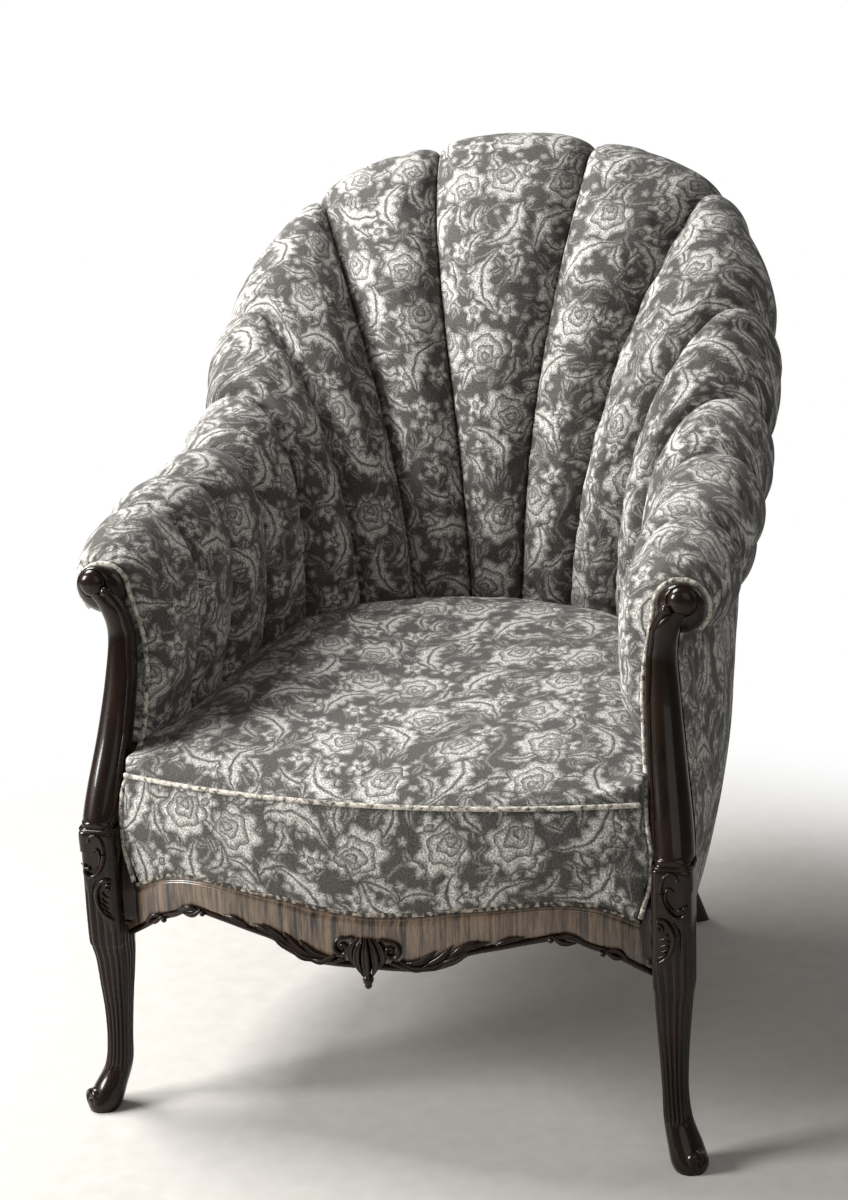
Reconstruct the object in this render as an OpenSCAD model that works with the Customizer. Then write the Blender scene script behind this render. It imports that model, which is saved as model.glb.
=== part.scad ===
// Tub easy chair: a high channelled back that sweeps down into rolled arms, a tight sprung
// seat, and a polished wooden show frame with a serpentine front rail.
// Millimetres. The chair faces -Y, stands on z = 0 and is centred on the origin.
// Left and right are as seen by someone who stands in front of it.
// Depths are first measured back from the arm fronts, and moved to the origin at the end.

/* [Seat] */
// Height of the piped front edge of the seat
seat_h = 396; // [380:1:420]
// Rise of the seat's crown above its front edge
seat_crown = 58; // [35:1:75]
// Forward bow of the front rail and of the seat's front edge
seat_bow = 50; // [30:1:65]

/* [Back and arms] */
// Height of the roll's centre line at the middle of the back
back_h = 986; // [940:1:1020]
// Height of the scroll's centre at the front of each arm
arm_h = 593; // [580:1:610]
// Width between the roll's centre lines
crest_w = 640; // [625:1:655]
// Depth from the arm fronts to the roll's centre line at the back
crest_d = 697; // [670:1:720]
// Radius of the padded roll at a seam
roll_r = 46; // [42:1:52]
// Radius of the padded roll at the arm's front scroll
scroll_roll_r = 28; // [26:1:31]
// Thickness of an arm at the seat, from its inside face to the frame's outer face
arm_thick = 46; // [43:1:50]
// Thickness of the back at the seat, from its inside face to the frame's outer face
back_thick = 87; // [84:1:95]
// How far a channel 150 wide stands proud of the seams beside it
channel_puff = 17; // [10:1:20]
// Thickness of the stuffing behind the inside face
pad_t = 36; // [30:1:40]
// Thickness of the stuffing over the roll
roll_pad_t = 18; // [14:1:20]

/* [Frame] */
// Height of the underside of the side and back rails
rail_under = 215; // [205:1:225]
// Height of the top of the seat rails
rail_top = 305; // [298:1:309]
// Thickness of the seat rails
rail_t = 25; // [22:1:28]
// Width of the frame between the outer faces of the side rails
frame_w = 628; // [622:1:634]
// Depth from the arm fronts to the outer face of the back rail
frame_d = 590; // [580:1:600]
// Thickness of an outside panel of fabric over its lining
panel_t = 4; // [3:0.5:5]
// Side of a back upright at the seat rails
upright_t = 38; // [34:1:42]
// Distance from the centre to each rear foot
rear_foot_x = 246; // [236:1:256]
// Depth from the arm fronts to the rear feet
rear_foot_y = 611; // [600:1:625]
// Diameter of a dowel
dowel_d = 10; // [8:1:12]

/* [Show wood] */
// How far the middles of the front knees lie outside the side rails
knee_out = 4; // [2:1:7]
// Side of the knee block
knee_w = 42; // [40:1:44]
// Depth of the knee block
knee_d = 50; // [48:1:54]
// Height at which the arm post stands on the leg
knee_top = 312; // [310:1:316]
// Width of the arm post at its waist
post_w = 36; // [32:1:38]
// Radius of the scroll at the top of the arm post
volute_r = 26; // [24:1:28]
// Thickness of the rail's veneered facing
facing_t = 14; // [12:1:16]
// Diameter of the bead along the facing's lower edge
bead_d = 7; // [5:1:8]
// Diameter of the piping
piping_d = 8; // [6:1:9]

/* [Springing] */
// Height of the webbing
webbing_h = 262; // [260:1:268]
// Height of the hessian over the springs
spring_top = 345; // [335:1:350]
// Width of a web
web_w = 50; // [40:1:55]
// Diameter of the spring wire
spring_wire = 4; // [3:0.5:5]

/* [Hidden] */

up = [0, 0, 1];
velvet = "#5a544d";
walnut = "#2b1a12";
beech = "#c49a6c";
hessian = "#a58a5f";
// Gap left between soft pieces, and between a piece and what carries it
soft_gap = 0.3;
dowel_fit = 0.05;
// Width of the seat between the arms, and its depth from the arm fronts to the inside back
well_w = frame_w - 2 * arm_thick;
well_d = frame_d - back_thick;

// Seams are numbered from the middle of the back, 0, to the front of the arm, 7.
// The direction in which the roll faces at each seam, in degrees round from straight back
seam_turn = [7, 30, 60, 75, 83, 88, 90, 90];
// Where each seam starts at the seat: shares of the well's half width and of its depth
seam_foot = [[0.123, 1], [0.377, 0.962], [0.616, 0.913], [0.836, 0.805],
    [0.948, 0.632], [0.993, 0.427], [1, 0.229]];
// Where each seam crosses the roll: shares of the roll's half width, its depth, and its rise
seam_crest = [[0.325, 0.993, 0.984], [0.815, 0.94, 0.833], [0.975, 0.717, 0.515],
    [0.966, 0.617, 0.257], [0.968, 0.473, 0.121], [0.98, 0.323, 0.085], [0.985, 0.172, 0.057]];
// Angle round the roll at which the inside face runs onto it, and at which its cover ends
roll_start = [132, 128, 128, 130, 138, 140, 145, 160];
roll_end = -48;
// Seams' stretches up the inside face, and round the roll
rise_steps = 7;
roll_steps = 7;
seam_foot_z = seat_h + 21;

// The outline of the seat frame at the same seams: shares of its half width and depth
frame_plan = [[0.108, 1], [0.334, 0.98], [0.548, 0.929], [0.739, 0.822],
    [0.876, 0.653], [0.965, 0.458], [0.99, 0.237], [1, -0.03]];

// The front rail's edges: distance from the centre, and height
facing_top = [[0, 272], [57, 276], [93, 282], [125, 284], [160, 288], [200, 290],
    [234, 287], [258, 278], [285, 266], [310, 262]];
facing_bottom = [[0, 219], [60, 220], [91, 229], [108, 240], [140, 247], [175, 254],
    [209, 258], [233, 247], [255, 238], [280, 222], [310, 204]];
rail_end_y = -45;

// How far a rail's inner face lies inside the frame's outline
rail_in = panel_t + soft_gap + rail_t;
// Centre of the knee block, the inner face of the block behind it, and the facing's ends
knee_x = frame_w / 2 + knee_out;
knee_y = rail_end_y + 2;
block_in = frame_w / 2 - rail_in;
facing_half = knee_x - knee_w / 2 + 1.5;

// The arm post from its collar up: centre [x, y, z], and width over depth
post_path = [[knee_x + 2, knee_y - 3, knee_top], [knee_x + 2, knee_y - 3, knee_top + 14],
    [knee_x + 1, knee_y - 2, knee_top + 18], [knee_x, knee_y + 2, post_z(0.129)],
    [knee_x - 3, -32, post_z(0.246)], [knee_x - 10, -14, post_z(0.448)], [knee_x - 15.5, 0, post_z(0.658)],
    [knee_x - 17, 6, post_z(0.829)], [knee_x - 12, 1, post_z(0.936)], [knee_x, 0, arm_h]];
function post_z(share) = mix(knee_top, arm_h, share);
post_size = [[1.2, 47], [1.24, 48], [1.1, 42], [1.15, 42], [1.17, 42],
    [1.1, 38], [0.98, 34], [0.82, 31], [0.84, 30], [0.9, 30]];
volute_at = [knee_x + 2, 0, arm_h];
volute_t = 30;
collar_rings = 3;

// The front leg from the floor up: centre offset from the knee [x, y], height, and width
leg_path = [[18, -20, 0], [17, -18, 8], [12, -13, 24], [3, -4, 50], [0, -2, 85],
    [-1, 0, 132], [-1, 2, 178], [0, 1, 196], [0, 0, rail_under], [0, 0, knee_top]];
leg_size = [34, 40, 38, 31, 28, 32, 38, 40.5, knee_w, knee_w];
leg_square = [2, 2, 2, 2.2, 2.6, 3, 3.4, 4, 8, 8];
toe_r = 13;

// Where a back upright's outer face meets the frame's outline, and the way it faces
upright_base = [frame_plan[3][0] * frame_w / 2, frame_plan[3][1] * frame_d];
upright_turn = 58;

cartouche_rise = 13;
// How far a channel of a given width stands out, between its seams
function swell(w) = channel_puff * sqrt(w / 150);
origin_y = (seam_crest[0][1] * crest_d + roll_r + swell(seam_crest[0][0] * crest_w)
    + rail_end_y - seat_bow - cartouche_rise) / 2;

function mix(a, b, t) = a + (b - a) * t;
function unit(v) = v / norm(v);
function flat(turn) = [sin(turn), cos(turn), 0];
function bezier(p, q, r, s, t) =
    pow(1 - t, 3) * p + 3 * pow(1 - t, 2) * t * q + 3 * (1 - t) * t * t * r + pow(t, 3) * s;

// A smooth curve through chosen points, with a number of steps between each two
function smooth(pts, steps) = let (n = len(pts)) [
    for (i = [0:n - 2], k = [0:steps - 1])
        let (t = k / steps, a = i == 0 ? 2 * pts[0] - pts[1] : pts[i - 1], b = pts[i],
            c = pts[i + 1], d = i == n - 2 ? 2 * c - b : pts[i + 2])
        0.5 * (2 * b + (c - a) * t + (2 * a - 5 * b + 4 * c - d) * t * t
            + (3 * b - a - 3 * c + d) * t * t * t),
    pts[n - 1]];

// A rounded four-sided ring: e is 2 for an ellipse and grows towards a square
function ring(c, w, d, e, turn = 0, count = 16) = [
    for (i = [0:count - 1])
        let (a = 360 * (i + 0.5) / count, x = w / 2 * sign(cos(a)) * pow(abs(cos(a)), 2 / e),
            y = d / 2 * sign(sin(a)) * pow(abs(sin(a)), 2 / e))
        [c[0] + x * cos(turn) - y * sin(turn), c[1] + x * sin(turn) + y * cos(turn), c[2]]];

// Skins a stack of rings, each anticlockwise as seen from the last one; the ends are closed
// flat, or drawn to a point when tips gives the first and the last one. Four-sided faces split
// the other way in the first bands, or in the first faces of each band, so that a piece with
// two mirrored halves, or with two parallel walls, splits both alike.
module skin(rings, tips = [], bands = 0, faces = 0) {
    n = len(rings[0]);
    m = len(rings);
    last = (m - 1) * n;
    polyhedron(
        points = concat([for (r = rings) each r], tips),
        faces = [
            for (i = [0:m - 2], j = [0:n - 1]) each
                let (a = i * n + j, b = i * n + (j + 1) % n)
                    (i < bands) != (j < faces)
                        ? [[a, a + n, b + n], [a, b + n, b]] : [[a, a + n, b], [b, a + n, b + n]],
            if (len(tips) == 2) for (j = [0:n - 1]) each
                [[m * n, j, (j + 1) % n], [m * n + 1, last + (j + 1) % n, last + j]],
            if (len(tips) == 0) for (t = zigzag(n)) each [t, [last + t[0], last + t[2], last + t[1]]]],
        convexity = 6);
}
// Triangles to and fro across a ring, so that the end of a curved band stays between its two faces
function to_fro(k, n) = k % 2 == 0 ? k / 2 : n - (k + 1) / 2;
function zigzag(n) = [for (k = [0:n - 3])
    let (a = to_fro(k, n), b = to_fro(k + 1, n), c = to_fro(k + 2, n)) k % 2 == 0 ? [a, c, b] : [a, b, c]];

// A round tube along a path
module tube(path, r, sides = 6) {
    n = len(path);
    skin([for (i = [0:n - 1])
        let (d = unit(path[min(i + 1, n - 1)] - path[max(i - 1, 0)]),
            x = unit(cross(abs(d[2]) > 0.9 ? [1, 0, 0] : up, d)), y = cross(d, x))
        [for (k = [0:sides - 1]) path[i] + r * (cos(360 * k / sides) * x + sin(360 * k / sides) * y)]]);
}

module placed() {
    translate([0, -origin_y, 0]) children();
}

// The right-hand piece, or its mirror image for the left
module handed(side) {
    placed() scale([side, 1, 1]) children();
}

// The arm post's inner back edge, along which the arm's cover ends
function post_edge(z) = [
    lookup(z, [for (i = [0:len(post_path) - 1])
        [post_path[i][2], post_path[i][0] - post_size[i][0] * post_w / 2]]) - 0.5,
    lookup(z, [for (i = [0:len(post_path) - 1])
        [post_path[i][2], post_path[i][1] + post_size[i][1] / 2]]) + soft_gap];

// A seam's own points: where it starts, and the centre of the roll that it crosses
function foot(n) = n == 7
    ? [post_edge(seam_foot_z)[0], post_edge(seam_foot_z)[1], seam_foot_z]
    : [seam_foot[n][0] * well_w / 2, seam_foot[n][1] * well_d, seam_foot_z];
function crest(n) = n == 7
    ? [volute_at[0], volute_at[1] + volute_t / 2 + soft_gap, arm_h]
    : [seam_crest[n][0] * crest_w / 2, seam_crest[n][1] * crest_d, mix(arm_h, back_h, seam_crest[n][2])];
function padded_r(n) = n == 7 ? scroll_roll_r : roll_r;
function on_roll(n, a, r) = crest(n) + r * (cos(a) * flat(seam_turn[n]) + sin(a) * up);

// The inside face at a seam, from the seat up to the roll; depth 0 is the cover, 1 the back of the pad
function rise(n, depth, t) = let (
    p = foot(n) + depth * pad_t * flat(seam_turn[n]),
    a = roll_start[n],
    s = on_roll(n, a, padded_r(n) - depth * roll_pad_t),
    along = sin(a) * flat(seam_turn[n]) - cos(a) * up,
    h = norm(s - p))
    bezier(p, p + 0.42 * h * up, s - 0.3 * h * along, s, t);
post_pad = 12;
function post_rise(depth, t) = let (
    z = mix(seam_foot_z, on_roll(7, roll_start[7], scroll_roll_r)[2], t), e = post_edge(z))
    mix([e[0], e[1], z] + depth * post_pad * [1, 0.6, 0],
        on_roll(7, roll_start[7], scroll_roll_r - depth * roll_pad_t), pow(t, 3));

function seam(n, depth) = n < 0 ? [for (p = seam(-n - 1, depth)) [-p[0], p[1], p[2]]] : [
    for (i = [0:rise_steps - 1]) let (t = i / rise_steps) n == 7 ? post_rise(depth, t) : rise(n, depth, t),
    for (i = [0:roll_steps])
        on_roll(n, mix(roll_start[n], roll_end, i / roll_steps), padded_r(n) - depth * roll_pad_t)];

// Outwards from the chair at a seam of either side
function outward(n) = let (o = flat(seam_turn[n < 0 ? -n - 1 : n])) [(n < 0 ? -1 : 1) * o[0], o[1], 0];

// How far a channel's cover stands out across its width: a full, soft curve between two seams
across = 8;
function fullness(v) = pow(1 - pow(abs(2 * v - 1), 2.3), 0.6);

// How full a channel still is at its foot, where the seat presses it, and how soon it is full
foot_squeeze = 0.04;
squeeze_h = 75;

// One stuffed channel between two seams, over the inside face and round the roll
module channel(k) {
    a = seam(k - 1, 0);
    b = seam(k, 0);
    back_a = seam(k - 1, 1);
    back_b = seam(k, 1);
    n = len(a);
    color(velvet) skin([for (i = [0:n - 1])
        let (w = b[i] - a[i], e = soft_gap / 2 / norm(w),
            along = (a[min(i + 1, n - 1)] + b[min(i + 1, n - 1)]) - (a[max(i - 1, 0)] + b[max(i - 1, 0)]),
            out = unit(cross(w, along)),
            front_pad = k == 7 ? 1 + 1.1 * sin(180 * min(1, i / rise_steps)) : 1,
            full = mix(foot_squeeze, 1, min(1, (a[i][2] - seam_foot_z) / squeeze_h)),
            h = full * min(swell(norm(w)) * front_pad, 0.24 * norm(w)))
        [for (j = [0:across]) mix(a[i], b[i], mix(e, 1 - e, j / across)) + h * fullness(j / across) * out,
            mix(back_a[i], back_b[i], 1 - e),
            mix(back_a[i], back_b[i], e)]]);
}

// Hessian stretched behind the channels from one seam to another, up to the rail in the roll
hessian_t = 1.2;
module backing(from, to) {
    skin([for (n = [from:to])
        let (line = seam(n, 1), out = outward(n))
        [for (i = [0:rise_steps]) line[i] + (soft_gap + hessian_t) * out,
            for (i = [rise_steps:-1:0]) line[i] + soft_gap * out]],
        bands = max(0, -1 - from), faces = rise_steps);
}
module arm_hessian(side) {
    color(hessian) handed(side) difference() {
        backing(3, 7);
        roll_core(2, 7);
        post_body();
    }
}
module back_hessian() {
    color(hessian) placed() difference() {
        backing(-4, 3);
        for (side = [-1, 1]) scale([side, 1, 1]) roll_core(2, 7);
    }
}

// The rail inside the roll, from one seam to another
module roll_core(from, to) {
    color(beech) skin([for (n = [from:to])
        let (m = n < 0 ? -n - 1 : n, r = padded_r(m) - roll_pad_t - soft_gap - hessian_t)
        [for (k = [0:11]) let (p = on_roll(m, 30 * k, r))
            [p[0] * (n < 0 ? -1 : 1), p[1], p[2]]]]);
}

// The outline of the frame, in plan, moved inwards by a distance
function frame_line(from, to, inset, steps = 3) = let (
    pts = [for (n = [-8:7]) let (p = frame_plan[n < 0 ? -n - 1 : n])
        [(n < 0 ? -1 : 1) * p[0] * frame_w / 2, p[1] * frame_d]],
    line = smooth(pts, steps), last = len(line) - 1)
    [for (i = [(from + 8) * steps:(to + 8) * steps])
        let (d = line[min(i + 1, last)] - line[max(i - 1, 0)], o = unit([-d[1], d[0]]))
        line[i] - inset * o];

// An upright band that follows the frame's outline
module band(from, to, inset, t, low, high) {
    outer = frame_line(from, to, inset);
    inner = frame_line(from, to, inset + t);
    translate([0, 0, low]) linear_extrude(high - low) polygon(concat(outer,
        [for (i = [len(inner) - 1:-1:0]) inner[i]]));
}

// Front leg: a knee block, a tapering shaft and a foot that scrolls outwards. Behind the
// facing the knee block has a square block on it, which the rails are dowelled to.
block_front = bow(facing_half) + facing_t;
block_back = bow(block_in) + facing_t + rail_t + 2;
module leg_body() {
    skin([for (i = [0:len(leg_path) - 1])
        ring([knee_x + leg_path[i][0], knee_y + leg_path[i][1], leg_path[i][2]],
            leg_size[i], leg_size[i] * (leg_path[i][2] > 150 ? knee_d / knee_w : 1), leg_square[i])]);
    translate([block_in, block_front, rail_under])
        cube([rail_t, block_back - block_front, rail_top - rail_under]);
    translate([knee_x + 22, knee_y - 23, toe_r]) rotate([90, 0, 45])
        cylinder(r = toe_r, h = 22, center = true, $fn = 32);
}
module front_leg() {
    color(walnut) difference() {
        leg_body();
        front_dowels(dowel_fit);
        side_dowels(dowel_fit);
        post_dowel(dowel_fit);
    }
}

// Arm post: collar, bulging shaft and the scroll that ends the arm
module post_body() {
    skin([for (i = [0:len(post_path) - 1])
        ring(post_path[i], post_size[i][0] * post_w, post_size[i][1], i < collar_rings ? 4 : 2.6)]);
    translate(volute_at) rotate([90, 0, 0]) {
        cylinder(r = volute_r, h = volute_t, center = true, $fn = 48);
        translate([volute_r * 0.4, volute_r * 0.55, 2])
            cylinder(r = volute_r * 0.66, h = volute_t / 2 + 3, $fn = 32);
    }
}
module arm_post() {
    color(walnut) difference() {
        post_body();
        post_dowel(dowel_fit);
    }
}

// Dowels of the right-hand joints; grow makes the holes that they fit
dowel_l = 36;
front_dowel_z = [mix(rail_under, rail_top, 0.3), mix(rail_under, rail_top, 0.85)];
side_dowel_z = [mix(rail_under, rail_top, 0.12), mix(rail_under, rail_top, 0.6)];
module dowel(grow) {
    cylinder(d = dowel_d + 2 * grow, h = dowel_l + 4 * grow, center = true, $fn = 24);
}
module front_dowels(grow = 0) {
    for (z = front_dowel_z) translate([block_in, (block_front + block_back) / 2 - 1, z])
        rotate([0, 90, 0]) dowel(grow);
}
module side_dowels(grow = 0) {
    for (z = side_dowel_z) translate([block_in + rail_t / 2, block_back, z])
        rotate([90, 0, 0]) dowel(grow);
}
module post_dowel(grow = 0) {
    translate([knee_x, knee_y, knee_top]) dowel(grow);
}

// Front rail: strips that follow the bow, given by their lower and upper edges
function bow(x) = rail_end_y - seat_bow * (1 - pow(x / (frame_w / 2 - 24), 2));
facing_lo = smooth(facing_bottom, 3);
facing_hi = smooth(facing_top, 3);
function lower_edge(x) = lookup(abs(x), [for (p = facing_lo) [p[0], p[1]]]);
function upper_edge(x) = lookup(abs(x), [for (p = facing_hi) [p[0], p[1]]]);
rail_stations = 26;
function clamp(x, limit) = max(-limit, min(limit, x));
function station(i, limit = facing_half) = clamp(mix(-facing_half, facing_half, i / rail_stations), limit);

module front_rail() {
    color(beech) placed() difference() {
        skin([for (i = [0:rail_stations]) let (x = station(i, block_in), y = bow(x) + facing_t)
            [[x, y, lower_edge(x) + 6], [x, y + rail_t, lower_edge(x) + 6],
                [x, y + rail_t, rail_top], [x, y, rail_top]]]);
        for (side = [-1, 1]) scale([side, 1, 1]) {
            front_dowels(dowel_fit);
            block_screws(dowel_fit);
        }
    }
}
module facing_strip() {
    skin([for (i = [0:rail_stations]) let (x = station(i), y = bow(x), lo = lower_edge(x), hi = upper_edge(x))
        [[x, y + 2, lo], [x, y + facing_t, lo], [x, y + facing_t, hi], [x, y + 3, hi],
            [x, y - 1, mix(lo, hi, 0.75)], [x, y - 1.5, mix(lo, hi, 0.3)]]]);
}
module rail_facing() {
    color(walnut) placed() difference() {
        facing_strip();
        for (side = [-1, 1]) scale([side, 1, 1]) leg_body();
    }
}
module rail_bead() {
    color(walnut) placed() tube([for (i = [0:rail_stations]) let (x = station(i, facing_half - 2))
        [x, bow(x) + 5, lower_edge(x) - 1.08 * bead_d / 2]], bead_d / 2, 8);
}

// Carving laid on the facing: a domed strip between two edges, cut to the facing's bow
module relief(pts, rise) {
    difference() {
        skin([for (p = pts) let (x = p[0], y = bow(p[0]), m = (p[1] + p[2]) / 2, h = (p[2] - p[1]) / 2)
            [[x, y + 1, m - h], [x, y + 1, m + h], [x, y - rise * 0.7, m + h * 0.7],
                [x, y - rise, m], [x, y - rise * 0.7, m - h * 0.7]]]);
        facing_strip();
    }
}
// Shell with a pendant: distance from the centre, lower edge, upper edge
cartouche_edges = [[-36, 221, 226], [-30, 220, 236], [-22, 218, 243], [-14, 211, 250], [-7, 203, 255],
    [0, 198, 256], [7, 203, 255], [14, 211, 250], [22, 218, 243], [30, 220, 236], [36, 221, 226]];
module rail_cartouche() {
    color(walnut) placed() difference() {
        relief(cartouche_edges, cartouche_rise);
        tube([for (i = [0:8]) let (x = mix(-44, 44, i / 8))
            [x, bow(x) + 5, lower_edge(x) - 1.08 * bead_d / 2]], bead_d / 2 + 0.1, 8);
    }
}
// A long leaf that springs from the shell and dies out along the rail's lower edge
leaf_edges = [[40, 222, 232], [52, 222, 244], [62, 223, 250], [74, 226, 250], [86, 230, 252],
    [98, 236, 256], [112, 243, 257], [126, 246, 254]];
module rail_carving(side) {
    color(walnut) placed() scale([side, 1, 1]) relief(leaf_edges, 9);
}

// Back upright: a raked rear leg and a stile in one length, cut to the rail in the roll
module upright_body() {
    inward = upright_t / 2 + panel_t + soft_gap + 1.5;
    b = [upright_base[0], upright_base[1], 0] - inward * flat(upright_turn);
    head = mix(crest(2), crest(3), 0.3);
    skin([
        ring([rear_foot_x, rear_foot_y - 20, 0], 30, 30, 6, -upright_turn, 12),
        ring(mix([rear_foot_x, rear_foot_y - 20, 0], b, 0.72) + up * 130, 33, 33, 6, -upright_turn, 12),
        ring(b + rail_under * up, upright_t, upright_t, 8, -upright_turn, 12),
        ring(b + (rail_top + 3) * up, upright_t, upright_t, 8, -upright_turn, 12),
        ring([b[0] + 38, b[1] + 9, seam_foot_z], 34, 34, 8, -upright_turn, 12),
        ring([b[0] + 70, b[1] + 20, mix(seam_foot_z, head[2], 0.526)], 30, 30, 8, -upright_turn, 12),
        ring(head, 26, 26, 8, -upright_turn, 12)]);
}
module back_upright(side) {
    color(beech) handed(side) difference() {
        upright_body();
        roll_core(2, 7);
        upright_dowels(dowel_fit);
    }
}
module upright_dowels(grow = 0) {
    for (side = [-1, 1], z = side_dowel_z)
        translate([upright_base[0], upright_base[1], z] - (panel_t + rail_t / 2 + 1) * flat(upright_turn))
            rotate([0, 0, -upright_turn + 5 * side]) translate([side * upright_t / 2, 0, 0])
                rotate([0, 90, 0]) dowel(grow);
}
// The room that the upright takes in the rails' ring
module upright_slot() {
    translate(upright_base) rotate([0, 0, -upright_turn]) translate([-upright_t / 2, -upright_t, 0])
        cube([upright_t, 2 * upright_t, rail_top + 10]);
}

module side_rail(side) {
    color(beech) handed(side) difference() {
        band(3, 7, panel_t + soft_gap, rail_t, rail_under, rail_top);
        translate([0, block_back - frame_d, 0]) cube([frame_w, frame_d, rail_top + 10]);
        upright_slot();
        side_dowels(dowel_fit);
        upright_dowels(dowel_fit);
        block_screws(dowel_fit);
    }
}
module back_rail() {
    color(beech) placed() difference() {
        band(-4, 3, panel_t + soft_gap, rail_t, rail_under, rail_top);
        for (side = [-1, 1]) scale([side, 1, 1]) {
            upright_slot();
            upright_dowels(dowel_fit);
            block_screws(dowel_fit);
        }
    }
}

module rail_dowels() {
    color(beech) for (side = [-1, 1]) handed(side) {
        front_dowels();
        side_dowels();
        upright_dowels();
    }
}
module post_dowels() {
    color(beech) for (side = [-1, 1]) handed(side) post_dowel();
}

// Lining rails just above the seat, to which the inside covers are tacked
lining_t = 20;
lining_h = 38;
lining_z = seam_foot_z - 30;
function lining_line(from, to, inset) = let (line = smooth([for (n = [-8:7])
    let (m = n < 0 ? -n - 1 : n,
        q = foot(m) + ((m == 7 ? post_pad + 2 : pad_t) + inset) * flat(seam_turn[m]))
        [(n < 0 ? -1 : 1) * q[0], q[1]]], 2))
    [for (i = [(from + 8) * 2:(to + 8) * 2]) line[i]];
module lining_band(from, to) {
    inset = hessian_t + 2 * soft_gap;
    outer = lining_line(from, to, inset + lining_t);
    inner = lining_line(from, to, inset);
    difference() {
        translate([0, 0, lining_z]) linear_extrude(lining_h)
            polygon(concat(outer, [for (i = [len(inner) - 1:-1:0]) inner[i]]));
        for (side = [-1, 1]) scale([side, 1, 1]) upright_body();
    }
}
module arm_lining_rail(side) {
    color(beech) handed(side) difference() {
        lining_band(2.5, 7);
        post_body();
    }
}
module back_lining_rail() {
    color(beech) placed() lining_band(-3.5, 2.5);
}

// Two studs that hold the crest rail up from the back lining rail
stud_w = 28;
module back_studs() {
    low = (lining_line(0, 1, hessian_t + 2 * soft_gap + lining_t / 2))[1];
    top = mix(crest(0), crest(1), 0.5);
    color(beech) for (side = [-1, 1]) handed(side) difference() {
        skin([ring([low[0], low[1], lining_z + lining_h], stud_w, lining_t - 2, 8, -18, 12),
            ring(top, stud_w, lining_t - 4, 8, -18, 12)]);
        roll_core(-3, 2);
    }
}

// The space inside the seat rails, in plan
module inside_rails(margin = 0) {
    sides = frame_line(-8, 7, rail_in + margin);
    front = [for (i = [0:rail_stations]) let (x = station(i, block_in))
        [x, bow(x) + facing_t + rail_t + margin]];
    intersection() {
        polygon(concat([[sides[0][0], -frame_d]], sides, [[-sides[0][0], -frame_d]]));
        polygon(concat([[-frame_w, 2 * frame_d], [-frame_w, front[0][1]]], front,
            [[frame_w, front[0][1]], [frame_w, 2 * frame_d]]));
    }
}
module clear_of_posts() {
    difference() {
        children();
        for (side = [-1, 1]) scale([side, 1, 1]) {
            leg_body();
            upright_body();
        }
    }
}

// Battens glued inside the rails, to whose undersides the webbing is tacked
batten = 18;
batten_z = webbing_h + 4.2;
module webbing_battens() {
    color(beech) placed() clear_of_posts() translate([0, 0, batten_z]) linear_extrude(batten)
        difference() {
            inside_rails();
            inside_rails(batten);
        }
}

// Triangular blocks glued and screwed into the corners of the seat frame
block_z = batten_z + batten + soft_gap;
front_block = [for (p = [[15, -15], [15, 111], [-71, -15]]) [block_in, rail_end_y] + p];
rear_block = [for (p = [[58, -105], [58, 75], [-102, 75], [-102, 31], [8, -105]]) upright_base + p];
module corner_blocks() {
    color(beech) for (side = [-1, 1]) handed(side) difference() {
        translate([0, 0, block_z]) linear_extrude(rail_top - 2 - block_z) intersection() {
            inside_rails();
            union() {
                polygon(front_block);
                polygon(rear_block);
            }
        }
        leg_body();
        upright_body();
        block_screws(dowel_fit, 40);
    }
}
// Screws through the blocks into the rails, sunk so that most of the shank is in the rail
screw_d = 4;
screw_l = 30;
screw_head = 8;
screw_sunk = 9;
function screw_at(n) = let (p = frame_line(n, n, rail_in + screw_sunk, 2)[0],
    o = frame_line(n, n, 0, 2)[0] - p) [p[0], p[1], atan2(o[1], o[0])];
block_screw_at = [[block_in - screw_sunk, 20, 0],
    [block_in - 23, bow(block_in - 23) + facing_t + rail_t + screw_sunk, -90], screw_at(3.5), screw_at(2.5)];
module block_screws(grow = 0, way = 0) {
    for (s = block_screw_at) translate([s[0], s[1], (block_z + rail_top - 2) / 2]) rotate([0, 90, s[2]]) {
        cylinder(d = screw_d + 2 * grow, h = screw_l + grow, $fn = 16);
        translate([0, 0, -3 - way]) cylinder(d = screw_head + 2 * grow, h = 3 + way + grow, $fn = 24);
    }
}
module corner_screws() {
    color("#b59a5a") for (side = [-1, 1]) handed(side) block_screws();
}

// Webbing, interlaced in two layers, cut to the outline of the battens
web_t = 1.8;
web_x = [for (i = [-1.5:1.5]) 112 * i];
web_y = [for (i = [0:4]) 20 + 103 * i];
module webs(z) {
    translate([0, 0, z]) linear_extrude(web_t) intersection() {
        inside_rails(1);
        children();
    }
}
module seat_webbing() {
    color(hessian) placed() clear_of_posts() {
        webs(webbing_h) for (x = web_x) translate([x - web_w / 2, -frame_d]) square([web_w, 2 * frame_d]);
        webs(webbing_h + web_t + soft_gap) for (y = web_y) translate([-frame_w, y - web_w / 2])
            square([2 * frame_w, web_w]);
    }
}
module dust_cover() {
    color("#2c2a28") placed() clear_of_posts() translate([0, 0, webbing_h - soft_gap - 1.2])
        linear_extrude(1.2) inside_rails(1);
}

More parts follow.
